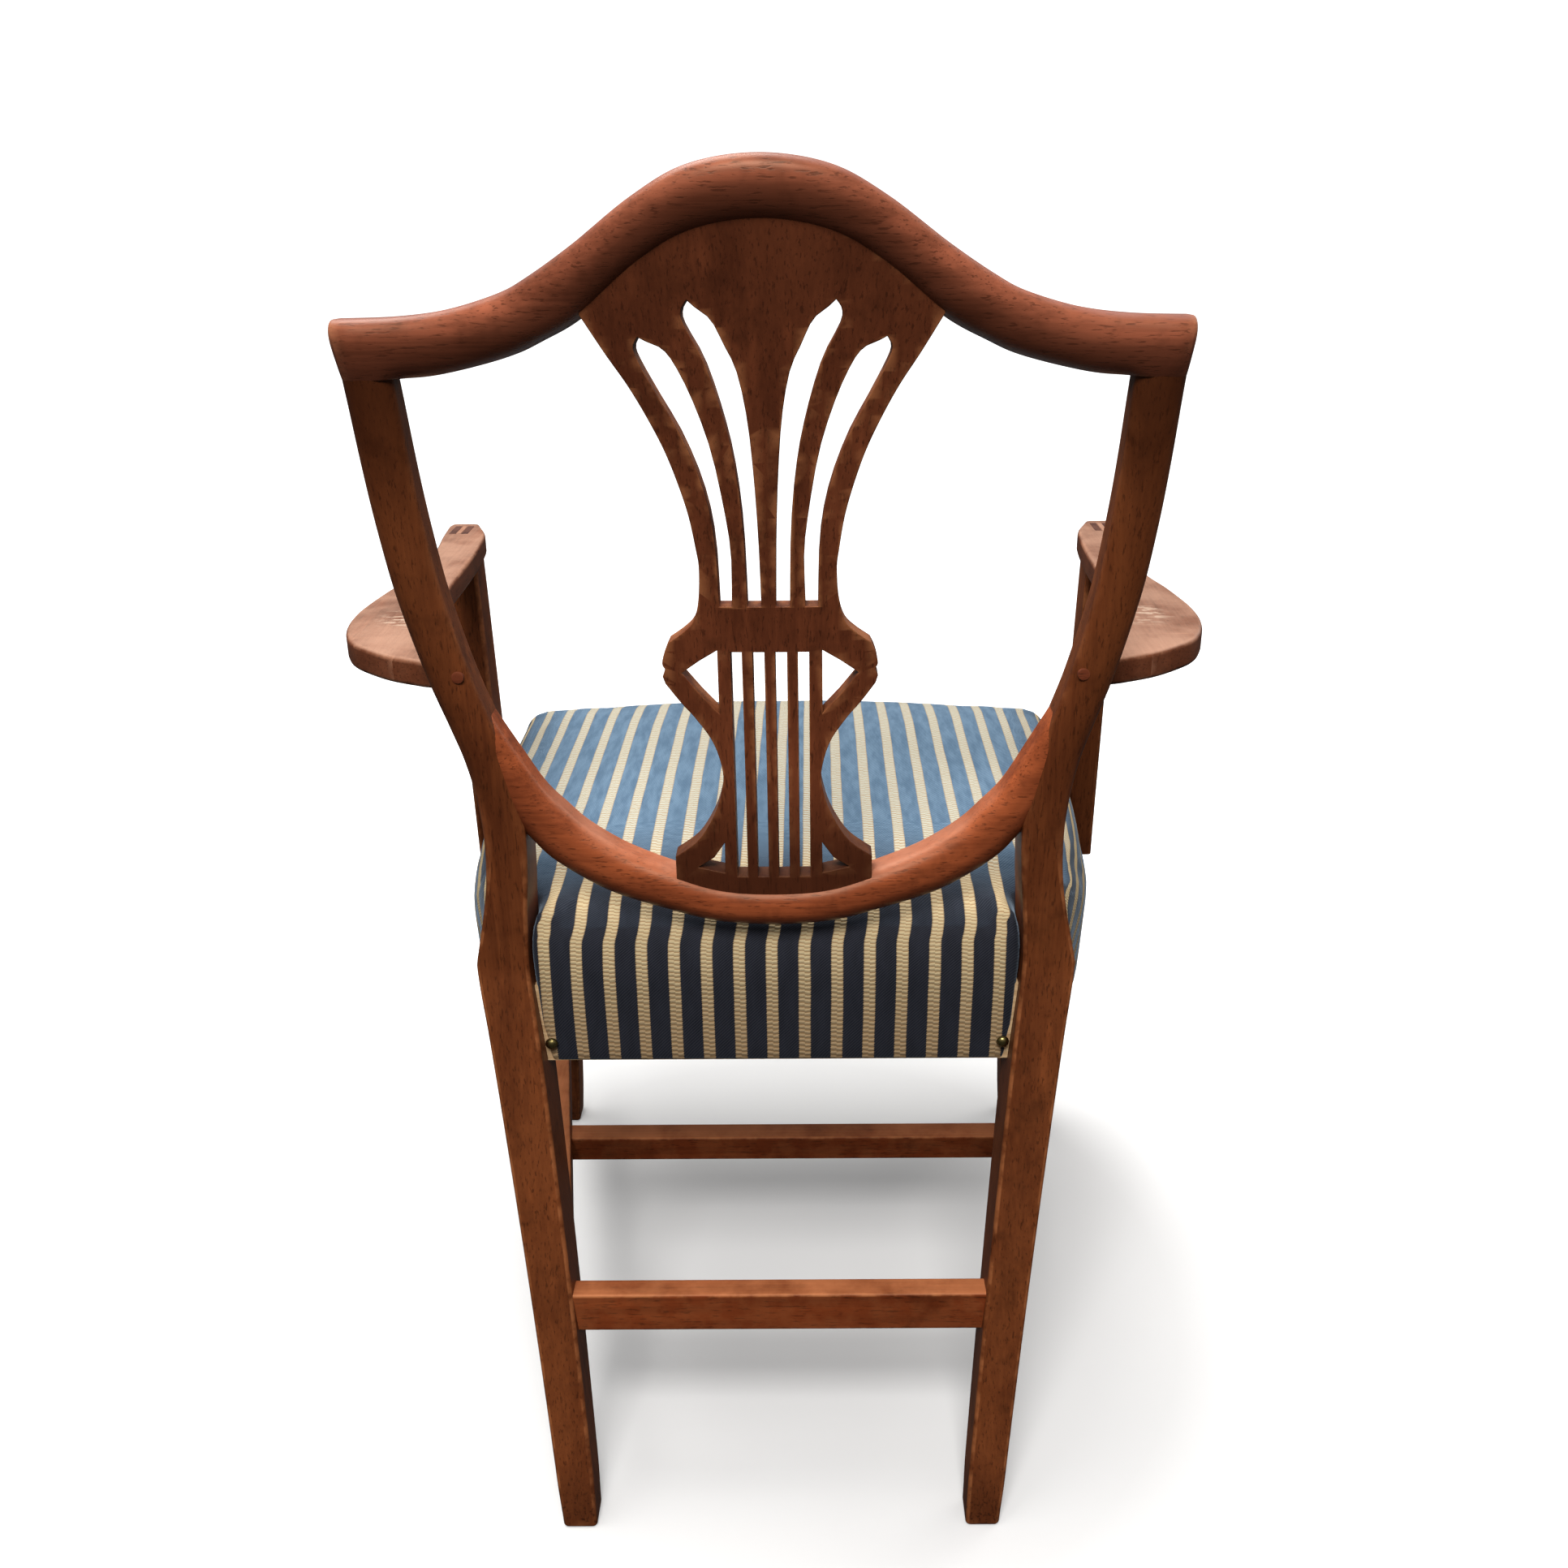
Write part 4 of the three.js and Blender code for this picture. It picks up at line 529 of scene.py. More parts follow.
medial_short, medial_from_back = 0.011, 0.183
medial_reach = 0.5 * ((outer + inner) / 2 + front_half - side_size / 2) - medial_short
medial_y = knee_back - medial_from_back
start, end = (Vector((out, medial_y, 0)) for out in (-medial_reach, medial_reach))
bar("medial_stretcher", start, end, medial_thick, medial_bottom, medial_top, cross_bar_wood)
_, inner, rear, _ = leg_at((rear_bottom + rear_top) / 2)
rear_bar_set_in = 0.0055
rear_bar_y = rear - rear_bar_set_in - bar_thick / 2
rear_reach = inner + bar_in_leg
start, end = (Vector((out, rear_bar_y, 0)) for out in (-rear_reach, rear_reach))
bar("rear_stretcher", start, end, bar_thick, rear_bottom, rear_top, cross_bar_wood)

# The lower rail of the shield: a curved bar, rounded towards the back, that is tenoned between
# the two necks and carries the foot of the splat.
rail_height = 0.471
rail_thickness = 0.029
rail_rise = neck_height - rail_height
rail_lower = [(0, 0), (0.2, 0.035), (0.37, 0.155), (0.58, 0.35), (0.755, 0.67), (0.84, 0.94), (0.895, 1.19),
              (0.93, 1.4), (0.97, 1.72)]
rail_upper = [(0, 0), (0.18, 0.035), (0.335, 0.175), (0.51, 0.385), (0.64, 0.63), (0.715, 0.85), (0.79, 1.11),
              (0.868, 1.54), (0.955, 2.05)]


def through(points, steps):
    """A smooth run of points through a few chosen ones, with equal shares of the steps."""
    run = []
    for k in range(steps + 1):
        t = k / steps * (len(points) - 1)
        i = min(int(t), len(points) - 2)
        t -= i
        p0, p1, p2, p3 = (Vector(points[min(max(i + j, 0), len(points) - 1)]) for j in (-1, 0, 1, 2))
        slope1, slope2 = (p2 - p0) / 2, (p3 - p1) / 2
        run.append(tuple(
            (2 * p1 - 2 * p2 + slope1 + slope2) * t ** 3
            + (3 * p2 - 3 * p1 - 2 * slope1 - slope2) * t ** 2 + slope1 * t + p1
        ))
    return run


def both_halves(half):
    return [(-x, z) for x, z in reversed(half[1:])] + list(half)


def shield_member(name, upper, lower, depth, round_depth, setback, round_share, end_ease):
    """A member of the shield between an upper and a lower outline, rounded towards the back."""
    rings = []
    last = len(upper) - 1
    shrinks = [end_ease * (1 - min(k / 4, 1)) ** 2 for k in range(last + 1)]
    for i, ((x1, z1), (x0, z0)) in enumerate(zip(upper, lower)):
        shrink = max(shrinks[i], shrinks[last - i])
        width = math.hypot(x1 - x0, z1 - z0)
        clear = width - 2 * shrink
        round_across = clear * round_share
        ring = rounded(clear, depth - 2 * shrink, (round_across, round_depth - shrink), (0.002, 0.002), 10)
        points = []
        for across, deep in ring:
            share = (across + shrink) / width
            x, z = lerp(x0, x1, share), lerp(z0, z1, share)
            points.append((x, back_surface(x, z) - setback - deep - shrink, z))
        rings.append(points)
    return loft(name, rings)


rail_wood = mahogany(
    "rail_mahogany", "X", (0.125, 0.026, 0.009), (0.37, 0.088, 0.029), (0.50, 0.19, 0.09), 9.1, 0.32,
    # upper: painted highlight along the top of the lower rail
    upper=(0.42, 0.175, 0.105),
)
rail_steps = 90


def rail_line(shares, lift):
    points = [(out * neck_half, rail_height + lift + rise * rail_rise) for out, rise in both_halves(shares)]
    return through(points, rail_steps)


rail_mesh = shield_member(
    "lower_shield_rail", rail_line(rail_upper, rail_thickness), rail_line(rail_lower, 0),
    0.026, 0.012, 0.002, 0.44, 0,
)
fitted("lower_shield_rail", rail_mesh, rail_wood)

# The splat: a flat board, pierced with four tall slots above the waist band and with four low
# slots and four small triangles below it, then let into the crest and the lower rail.
splat_foot = 0.498
splat_half = 0.1015
crest_rise, head_share = 0.083, 0.42
splat_tall = crest_joint_height + crest_rise * head_share - splat_foot
splat_thick = 0.017
splat_setback = 0.006
foot_edge = [(0.66, 0.07), (0.5, 0.105), (0.39, 0.155), (0.335, 0.2), (0.321, 0.24), (0.375, 0.295),
             (0.48, 0.34), (0.58, 0.373), (0.665, 0.405)]
notch_edge = [(0.68, 0.418), (0.662, 0.43), (0.678, 0.441), (0.66, 0.462), (0.63, 0.48)]
shoulder_edge = [(0.63, 0.48), (0.53, 0.5), (0.465, 0.52), (0.43, 0.555), (0.417, 0.61), (0.43, 0.643),
                 (0.463, 0.698), (0.515, 0.75), (0.581, 0.802), (0.666, 0.852), (0.764, 0.901),
                 (0.877, 0.948), (1, 1.003)]
tall_slots = [
    ([(0.302, 0.545), (0.314, 0.658), (0.367, 0.742), (0.474, 0.823), (0.605, 0.89), (0.692, 0.936),
      (0.716, 0.957), (0.687, 0.972)],
     [(0.687, 0.972), (0.637, 0.965), (0.555, 0.955), (0.489, 0.931), (0.402, 0.879), (0.314, 0.804),
      (0.253, 0.713), (0.22, 0.636), (0.226, 0.545)]),
    ([(0.13, 0.545), (0.142, 0.68), (0.181, 0.784), (0.243, 0.864), (0.329, 0.939), (0.426, 0.989),
      (0.438, 1.009), (0.404, 1.024)],
     [(0.404, 1.024), (0.358, 1.013), (0.278, 0.996), (0.213, 0.961), (0.148, 0.922), (0.099, 0.852),
      (0.071, 0.763), (0.053, 0.658), (0.045, 0.545)]),
]
low_slots = [(0.034, 0.107), (0.175, 0.245)]
low_slot_ends = (0.033, 0.464)
triangles = [
    [(0.328, 0.467), (0.33, 0.352), (0.44, 0.385), (0.557, 0.425), (0.44, 0.448)],
    [(0.325, 0.1), (0.328, 0.04), (0.508, 0.05), (0.4, 0.07)],
]


def on_splat(point):
    return (point[0] * splat_half, splat_foot + point[1] * splat_tall)


def sawn_board(name, loops, thickness, edge):
    """A board of one outline and its holes, lying flat, with softened edges."""
    line = bpy.data.curves.new(name, "CURVE")
    line.dimensions = "2D"
    line.fill_mode = "BOTH"
    line.extrude = thickness / 2 - edge
    line.bevel_depth = edge
    line.bevel_resolution = 2
    line.offset = -edge
    for loop in loops:
        spline = line.splines.new("POLY")
        spline.points.add(len(loop) - 1)
        for point, (x, y) in zip(spline.points, loop):
            point.co = (x, y, 0, 1)
        spline.use_cyclic_u = True
    board = placed(name, line)
    seen = board.evaluated_get(bpy.context.evaluated_depsgraph_get())
    mesh = bpy.data.meshes.new_from_object(seen)
    bpy.data.objects.remove(board)
    bpy.data.curves.remove(line)
    return mesh


def sliced(mesh, axis, places):
    """Extra edges across a flat board, so that it can be bent."""
    shape = bmesh.new()
    shape.from_mesh(mesh)
    bmesh.ops.remove_doubles(shape, verts=shape.verts, dist=2e-6)
    for place in places:
        middle = Vector((0, 0, 0))
        middle[axis] = place
        normal = Vector((0, 0, 0))
        normal[axis] = 1
        parts = shape.verts[:] + shape.edges[:] + shape.faces[:]
        bmesh.ops.bisect_plane(shape, geom=parts, plane_co=middle, plane_no=normal)
    shape.to_mesh(mesh)
    shape.free()


crest_thickness = 0.034
crest_half = 0.2454
crest_upper = [(0, 1), (0.153, 0.937), (0.278, 0.754), (0.419, 0.467), (0.529, 0.267), (0.603, 0.162),
               (0.728, 0.059), (0.855, 0.012), (1, 0)]
crest_lower = [(0, 1), (0.153, 0.93), (0.278, 0.732), (0.415, 0.412), (0.514, 0.256), (0.603, 0.146),
               (0.757, 0.036), (0.865, 0.006), (1, 0)]
crest_steps = 160


def crest_line(shares, base):
    points = [(out * crest_half, base + rise * crest_rise) for out, rise in both_halves(shares)]
    return through(points, crest_steps)


crest_low_line = crest_line(crest_lower, crest_joint_height)
crest_high_line = crest_line(crest_upper, crest_joint_height + crest_thickness)
rail_high_line = rail_line(rail_upper, rail_thickness)
tongue = 0.008
foot_x = foot_edge[0][0] * splat_half
head_x = splat_half * shoulder_edge[-1][0]
half = [(foot_x, flowing(rail_high_line, foot_x) - tongue)]
half += through([on_splat(p) for p in foot_edge], 34)
half += through([on_splat(p) for p in notch_edge], 14)
half += through([on_splat(p) for p in shoulder_edge], 44)[1:]
half += [(head_x * k / 12, flowing(crest_low_line, head_x * k / 12) + tongue) for k in range(12, 0, -1)]
outline = half + [(0, flowing(crest_low_line, 0) + tongue)] + [(-x, z) for x, z in reversed(half)]
outline.append((0, splat_foot - tongue))
holes = [
    through([on_splat(p) for p in inner], 18) + through([on_splat(p) for p in outer], 18)[1:]
    for inner, outer in tall_slots
]
for near, far in low_slots:
    low, high = low_slot_ends
    holes.append([on_splat(p) for p in ((near, low), (far, low), (far, high), (near, high))])
holes += [[on_splat(p) for p in corner] for corner in triangles]
holes += [[(-x, z) for x, z in reversed(hole)] for hole in holes]
splat_mesh = sawn_board("splat", [outline, *holes], splat_thick, 0.0006)
sliced(splat_mesh, 0, [0.0085 * k for k in range(-12, 13)])
sliced(splat_mesh, 1, [splat_foot + 0.011 * k for k in range(40)])
for v in splat_mesh.vertices:
    x, z, out = v.co
    v.co = (x, back_surface(x, z) - splat_setback - splat_thick / 2 + out, z)
splat_wood = mahogany(
    "splat_mahogany", "Z", (0.070, 0.0165, 0.0066), (0.20, 0.053, 0.020), (0.35, 0.13, 0.05), 11.3,
    # painted shade at the foot of the splat, just above the lower rail
    dimmed=(0.60, 0.51, 0.75),
)
fitted("splat", tidied(splat_mesh), splat_wood)

# The crest rail: sawn to the serpentine top of the shield, half round at the back, and set down
# on the two stiles with its ends as the ears of the shield.
ear_rounding = 0.003
ear_cuts = [ear_rounding * (1 - math.cos(math.pi / 2 * k / 5)) for k in range(6)]
ear_x = [crest_half - cut for cut in ear_cuts]
inner_x = [x for x, z in crest_high_line if 0 <= x < crest_half - 2 * ear_rounding]
crest_x = sorted({-x for x in inner_x} | set(inner_x) | {-x for x in ear_x} | set(ear_x))
crest_top = []
for x in crest_x:
    rest = ear_rounding - min(crest_half - abs(x), ear_rounding)
    lowered = ear_rounding - math.sqrt(max(ear_rounding ** 2 - rest ** 2, 0))
    crest_top.append((x, flowing(crest_high_line, x) - lowered))
crest_base = [(x, flowing(crest_low_line, x)) for x in crest_x]
crest_mesh = shield_member("crest_rail", crest_top, crest_base, 0.027, 0.0125, 0, 0.48, 0.0004)
stile_setback, half_round_deep = 0.0042, 0.0132
ear_from, ear_full, ear_end_run = 0.205, 0.221, 0.006
for v in crest_mesh.vertices:
    x, y, z = v.co
    behind = back_surface(x, z)
    if y < behind - half_round_deep or abs(x) < ear_from:
        continue
    low, high = flowing(crest_base, x), flowing(crest_top, x)
    share = (z - low) / max(high - low, 1e-6)
    over_stile = ease(abs(x), ear_from, ear_full)
    past = min(max((abs(x) - crest_half + stile_round_across) / stile_round_across, 0), 1)
    turned_in = stile_round_deep * (1 - math.sqrt(1 - past * past)) * (1 - 0.7 * ease(share, 0.25, 1))
    if share < 0.5:
        flush = behind - stile_setback * (1 - share / 0.5) ** 2
        y = lerp(y, flush, over_stile)
    ear_end = ease(abs(x), crest_half - ear_end_run, crest_half)
    v.co.x = x - math.copysign((crest_half - ear_half) * (1 - share) * ear_end, x)
    v.co.y = y - turned_in * over_stile
crest_wood = mahogany(
    "crest_mahogany", "X", (0.110, 0.029, 0.0135), (0.335, 0.096, 0.048), (0.45, 0.18, 0.09), 7.9, 0.32,
    # upper: painted sheen on the top of the crest, greyer and pinker than the wood
    upper=(0.215, 0.100, 0.083),
)
fitted("crest_rail", tidied(crest_mesh), crest_wood)

# The arms: flat shaped boards butted on the fronts of the stiles and carried in front by posts,
# which stand on the outside of the seat. The posts' tenons come up through the arms and are
# spread by wedges, so their end grain shows on top.
arm_thick = 0.019
arm_rise = 0.019
arm_half_span = 0.309
arm_length = 0.404
arm_reach = knee_back - arm_length
arm_outer = [(0.13, 0), (0.43, 0.032), (0.7, 0.08), (0.832, 0.116), (0.936, 0.171), (0.984, 0.223),
             (1, 0.275), (0.988, 0.33), (0.93, 0.43), (0.86, 0.51), (0.815, 0.62), (0.838, 0.715),
             (0.878, 0.793), (0.928, 0.883), (0.963, 0.974)]
arm_inner = [(0.625, 0.974), (0.52, 0.912), (0.478, 0.855), (0.432, 0.725), (0.41, 0.585), (0.397, 0.461),
             (0.314, 0.347), (0.167, 0.222), (-0.018, 0.119), (-0.2, 0.036)]
arm_toe = [(0.945, 0.995), (0.895, 1), (0.71, 1), (0.66, 0.995)]
stile_outer, _, _, stile_front = leg_at(arm_height - arm_thick / 2)


def on_arm(point):
    return (lerp(stile_outer, arm_half_span, point[0]), lerp(stile_front, arm_reach, point[1]))


def arm_top(y):
    return arm_height + arm_rise * (knee_back - y) / arm_length


arm_in_stile = stile_front + 0.004
arm_outline = [(stile_outer - 0.026, arm_in_stile), (stile_outer - 0.002, arm_in_stile)]
arm_outline += through([on_arm(p) for p in arm_outer], 84) + [on_arm(p) for p in arm_toe]
arm_outline += through([on_arm(p) for p in arm_inner], 50)
arm_wood = mahogany(
    "arm_mahogany", "Y", (0.065, 0.017, 0.007), (0.150, 0.044, 0.019), (0.36, 0.17, 0.10), 13.7, 0.42,
    # upper: partly rubbed wear and partly a painted highlight on the arm tops
    upper=(0.41, 0.232, 0.158), scratched=(0.262, 0.072, 0.034),
)
arm_edge = 0.0035
for side, sign in both_sides:
    loop = arm_outline if sign > 0 else [(-x, y) for x, y in reversed(arm_outline)]
    arm_mesh = sawn_board(f"arm_{side}", [loop], arm_thick, arm_edge)
    sliced(arm_mesh, 1, [arm_reach + 0.02 * k for k in range(20)])
    for v in arm_mesh.vertices:
        v.co.z += arm_top(v.co.y) - arm_thick / 2
    fitted(f"arm_{side}", tidied(arm_mesh), arm_wood)

post_foot_size, post_top_size = (0.030, 0.036), (0.027, 0.034)
post_y = arm_reach + 0.027
post_bow = 0.008
cover_out, cover_clear = 0.0028, 0.0033
post_inner = front_half + cover_out + cover_clear
post_top_share, tenon_share = 0.62, 0.78
post_top_inner = on_arm((post_top_share, 1))[0]
post_foot = seat_bottom + 0.0025
post_steps, post_gap = 24, 0.0002
tenon_size = (0.017, 0.028)
tenon_x = on_arm((tenon_share, 1))[0]
tenon_back = post_y + tenon_size[1] / 2
wedge_half, wedge_gap, tenon_proud = 0.0021, 0.0003, 0.0003
end_grain = mahogany(
    "tenon_end_grain", "Z", (0.035, 0.012, 0.010), (0.080, 0.028, 0.022), (0.12, 0.05, 0.035), 17.1, 0.55,
)
for side, sign in both_sides:
    rings = []
    for k in range(post_steps + 1):
        share = k / post_steps
        width, depth = (lerp(a, b, share) for a, b in zip(post_foot_size, post_top_size))
        inner = lerp(post_inner, post_top_inner, share * share)
        back = post_y + post_bow * math.sin(math.pi * share) + depth / 2
        ring = rounded(width, depth, (0.004, 0.004), (0.0025, 0.0025), 5)
        rings.append([
            (sign * (inner + a), back - d, lerp(post_foot, arm_top(back - d) - arm_thick - post_gap, share))
            for a, d in ring
        ])
    fitted(f"arm_post_{side}", loft(f"arm_post_{side}", rings), leg_wood)
    for part, low, high, material, replacing in (
        ("tenon_outer", wedge_half + wedge_gap, tenon_size[0] / 2, end_grain, False),
        ("tenon_inner", -tenon_size[0] / 2, -wedge_half - wedge_gap, end_grain, False),
        ("post_tenon_wedge", -wedge_half, wedge_half, arm_wood, True),
    ):
        rings = []
        for z, shrink in ((-0.006, 0), (0, 0), (tenon_proud, tenon_proud)):
            width, depth = high - low - 2 * shrink, tenon_size[1] - 2 * shrink
            ring = rounded(width, depth, (0.0006, 0.0006), (0.0006, 0.0006), 2)
            rings.append([
                (sign * (tenon_x + low + shrink + a), tenon_back - shrink - d, z + arm_top(tenon_back - d))
                for a, d in ring
            ])
        fitted(f"{part}_{side}", loft(f"{part}_{side}", rings), material, replacing)

# Turned and pressed fixings that show: the wood plugs over the screws that hold the arms, and
# the domed brass nails at the lower back corners of the cover.
plug_height = arm_height - 0.002
plug_x = leg_at(plug_height)[1] + 0.007


def turned_piece(name, profile, place, sides=28):
    """A profile of (radius, how far back) points, turned about a line that runs to the back."""
    rings = [
        [(place[0] + r * math.cos(a), place[1] + out, place[2] + r * math.sin(a))
         for a in (2 * math.pi * k / sides for k in range(sides))]
        for r, out in profile
    ]
    return loft(name, rings)


plug_wood = mahogany(
    "plug_mahogany", "X", (0.07, 0.014, 0.006), (0.15, 0.034, 0.013), (0.16, 0.04, 0.016), 19.9, 0.5,
)
brass, brass_shader, s, place = finish("old_brass", {"Metallic": 1.0})
tarnish = s.noise(place, 900, 3, 0.6).between(0.4, 0.65)
surface(brass_shader, tarnish.blend((0.24, 0.19, 0.07), (0.06, 0.048, 0.02)), 0.24 + tarnish * 0.3)
rail_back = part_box("rear_seat_rail")[1][1]
nail_base = rail_back + cover_out + 0.0018
nail_out, nail_up = 0.164, 0.017
plug_profile = [(0.0039, -0.004), (0.0040, -0.0002), (0.0038, 0.0), (0.0026, 0.00012), (0.0008, 0.00015)]
dome = [(0.0010, -0.013), (0.0011, -0.0002), (0.0044, -0.0002), (0.0046, 0.0003)]
turns = (0.2, 0.45, 0.7, 0.95, 1.2, 1.42, 1.54)
dome += [(0.0045 * math.cos(t), 0.0004 + 0.0031 * math.sin(t)) for t in turns]
for side, sign in both_sides:
    plug_place = (sign * plug_x, leg_at(plug_height)[2], plug_height)
    plug_mesh = turned_piece(f"arm_screw_plug_{side}", plug_profile, plug_place)
    fitted(f"arm_screw_plug_{side}", plug_mesh, plug_wood)
    nail_place = (sign * nail_out, nail_base, seat_bottom + nail_up)
    nail_mesh = turned_piece(f"cover_nail_{side}", dome, nail_place)
    fitted(f"cover_nail_{side}", nail_mesh, brass)

# The seat frame and its filling stay as the CAD solids: beech rails and corner blocks, steel
# screws, and jute webbing and base cloth. The cover and the bottom cloth hide them.
beech, beech_shader, s, place = finish("bare_beech", {"Specular IOR Level": 0.3})
beech_grain = s.noise(s.stretched(place, (0.06, 1, 1)), 260, 3, 0.6)
flecks = s.noise(s.stretched(place, (0.2, 1, 1)), 900, 2).between(0.58, 0.66)
beech_tone = beech_grain.between(0.3, 0.7).blend((0.44, 0.27, 0.13), (0.62, 0.43, 0.24))
beech_tone = (flecks * 0.5).blend(beech_tone, (0.25, 0.13, 0.06))
surface(beech_shader, beech_tone, 0.55 + beech_grain * 0.2, beech_grain, 0.3, 0.0004)

jute, jute_shader, s, place = finish("jute_weave", {"Specular IOR Level": 0.2})
jute_threads = [s.sum("SINE", place.part(axis) * 3100) for axis in (0, 1)]
jute_height = s.sum("MAXIMUM", *jute_threads)
jute_tone = s.noise(place, 700, 2) * 0.6 + jute_height * 0.25
jute_tone = jute_tone.between(0, 0.8).blend((0.20, 0.13, 0.07), (0.46, 0.34, 0.19))
surface(jute_shader, jute_tone, 0.85 + jute_height * 0.05, jute_height, 0.6, 0.0004)

steel, steel_shader, s, place = finish("screw_steel", {"Metallic": 1.0})
steel_marks = s.noise(place, 1400, 3)
steel_tone = steel_marks.between(0.35, 0.65).blend((0.34, 0.33, 0.32), (0.52, 0.51, 0.50))
surface(steel_shader, steel_tone, 0.3 + steel_marks * 0.25)

kept_finishes = [
    ("seat_rail", beech), ("corner_block", beech), ("screw", steel), ("webbing", jute), ("base_cloth", jute),
]
for name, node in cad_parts.items():
    for words, material in kept_finishes:
        if words in name and "plug" not in name:
            for slot in node.material_slots:
                slot.material = material

# The seat: hair and wadding under a striped cover that is pulled over the rails and nailed, so
# the pad, the roll of the edges and the fabric are one soft piece. The stripes run from front to
# back and go straight down the front and the back; on the sides they follow the edge.
side_shares = [(0, 0), (0.06, 0.17), (0.13, 0.38), (0.225, 0.59), (0.33, 0.74), (0.48, 0.87),
               (0.66, 0.95), (0.88, 1), (1, 1)]
rail_top_leg = leg_at(seat_frame_top)
side_start = (rail_top_leg[0] - 0.002, rail_top_leg[3])
rear_edge, front_edge, front_arch = 0.115, 0.124, 0.015
seat_crown = 0.013
edge_roll = 0.040
corner_radius = 0.012
seat_rows = [(0, 0, 0), (0, 0.15, 0.3), (0, 0.3, 0.6), (0, 0.45, 0.85), (0, 0.6, 1), (-0.01, 0.7, 1),
             (-0.035, 0.79, 0.9), (-0.09, 0.87, 0.7), (-0.17, 0.925, 0.4), (-0.28, 0.962, 0.15),
             (-0.42, 0.985, 0), (-0.6, 1.0, 0), (-0.8, 1.01, 0), (-1, 1.02, 0)]
seat_bulge = 0.0035
crown_shares = [0.86, 0.72, 0.58, 0.44, 0.3, 0.16, 0.06]


def seat_half(z):
    """Half of the seat's plan at one height: from the middle of the back to that of the front.
    Each row says how freely the edge there may roll in."""
    _, inner, _, front = leg_at(min(z, knee_height))
    back = rail_back + cover_out
    beside = inner - 0.0006
    ahead = front - 0.0008
    rows = [(beside * k / 22, back, 1) for k in range(21)]
    rows += [(beside - 0.0015, back - 0.0008, 0.4), (beside, back - 0.003, 0.4)]
    rows += [(beside, lerp(back, ahead, k / 5), 0.4) for k in range(1, 5)]
    rows += [(beside, ahead + 0.0025, 0.4), (beside + 0.0025, ahead, 0.4)]
    start = (side_start[0] + cover_out, ahead - 0.003)
    rows += [(lerp(beside + 0.0025, start[0], k / 4), lerp(ahead, start[1], k / 4), 0.5) for k in range(1, 4)]
    side_line = through([
        (lerp(side_start[0], front_half, out), lerp(side_start[1], front_face, forward))
        for forward, out in side_shares
    ], 56)
    rows += [(x + cover_out, y, 1) for x, y in side_line[2:] if y > front_face + corner_radius + 0.004]
    edge, face = front_half + cover_out, front_face - cover_out
    for k in range(7):
        turn = math.pi / 2 * k / 6
        x, y = edge - corner_radius * (1 - math.cos(turn)), face + corner_radius * (1 - math.sin(turn))
        rows.append((x, y, 1))
    rows += [((edge - corner_radius) * (1 - k / 24), face, 1) for k in range(1, 25)]
    return rows


def edge_height(x, y):
    front = front_edge + front_arch * (1 - (x / front_half) ** 2)
    return lerp(rear_edge, front, (knee_back - y) / seat_depth)


seat_rings = []
for inward, rise, bulge in seat_rows:
    half = seat_half(seat_bottom + rise * rear_edge)
    plan = half + [(-x, y, free) for x, y, free in reversed(half[1:-1])]
    offset = inward * edge_roll + bulge * seat_bulge
    ring = []
    for i, (x, y, free) in enumerate(plan):
        before, after = plan[i - 1], plan[(i + 1) % len(plan)]
        run = Vector((after[0] - before[0], after[1] - before[1])).normalized()
        move = offset * (1 if free == 1 else 0) if offset > 0 else offset * free
        x, y = x - run.y * move, y + run.x * move
        if move < 0:
            x = math.copysign(min(abs(x), front_half + cover_out + move), x)
            y = max(y, front_face - cover_out - move)
        ring.append(Vector((x, y, seat_bottom + rise * edge_height(x, y))))
    seat_rings.append(ring)
rim = seat_rings[-1]
crown_from_back = 0.2308
seat_middle = Vector((0, knee_back - crown_from_back, 0))
for share in crown_shares:
    ring = []
    for p in rim:
        q = seat_middle.lerp(p, share)
        q.z = seat_bottom + seat_rows[-1][1] * edge_height(q.x, q.y) + seat_crown * (1 - share * share)
        ring.append(q)
    seat_rings.append(ring)
seat_mesh = loft("seat_cushion", [[tuple(p) for p in ring] for ring in seat_rings])


def applied(thing):
    """The piece's mesh as its modifiers leave it."""
    bpy.context.view_layer.update()
    return bpy.data.meshes.new_from_object(thing.evaluated_get(bpy.context.evaluated_depsgraph_get()))


cushion = placed("seat_cushion", seat_mesh)
remesh = cushion.modifiers.new("even_faces", "REMESH")
remesh.mode = "VOXEL"
remesh.voxel_size = 0.005
plain = applied(cushion)
cushion.modifiers.clear()
cushion.data = plain


def held_share(p):
    """1 where the cover is nailed to the rails or tucked round the rear legs, 0 where it is free."""
    low = 1 - ease(p.z, seat_bottom + 0.03, seat_bottom + 0.07)
    leg_middle, leg_half = 0.195, 0.024
    if p.y < side_start[1] - 0.03:
        return low
    return max(low, 1 - ease(abs(abs(p.x) - leg_middle) - leg_half, 0.004, 0.03))


held = cushion.vertex_groups.new(name="held")
for v in plain.vertices:
    held.add([v.index], held_share(v.co), "REPLACE")
cloth = cushion.modifiers.new("stuffing", "CLOTH")
cloth.settings.use_pressure = True
cloth.settings.uniform_pressure_force = 4
cloth.settings.vertex_group_mass = "held"
cloth.settings.tension_stiffness = 12
cloth.settings.compression_stiffness = 12
cloth.settings.effector_weights.gravity = 0
for step in range(1, 21):
    bpy.context.scene.frame_set(step)
stuffed = applied(cushion)
cushion.modifiers.clear()
most_move = 0.0045
for before, after in zip(plain.vertices, stuffed.vertices):
    move = after.co - before.co
    if move.length > most_move:
        move *= most_move / move.length
    before.co += move * (1 - held_share(before.co))
smoother = cushion.modifiers.new("smooth", "SMOOTH")
smoother.factor, smoother.iterations = 0.5, 3
finer = cushion.modifiers.new("finer", "SUBSURF")
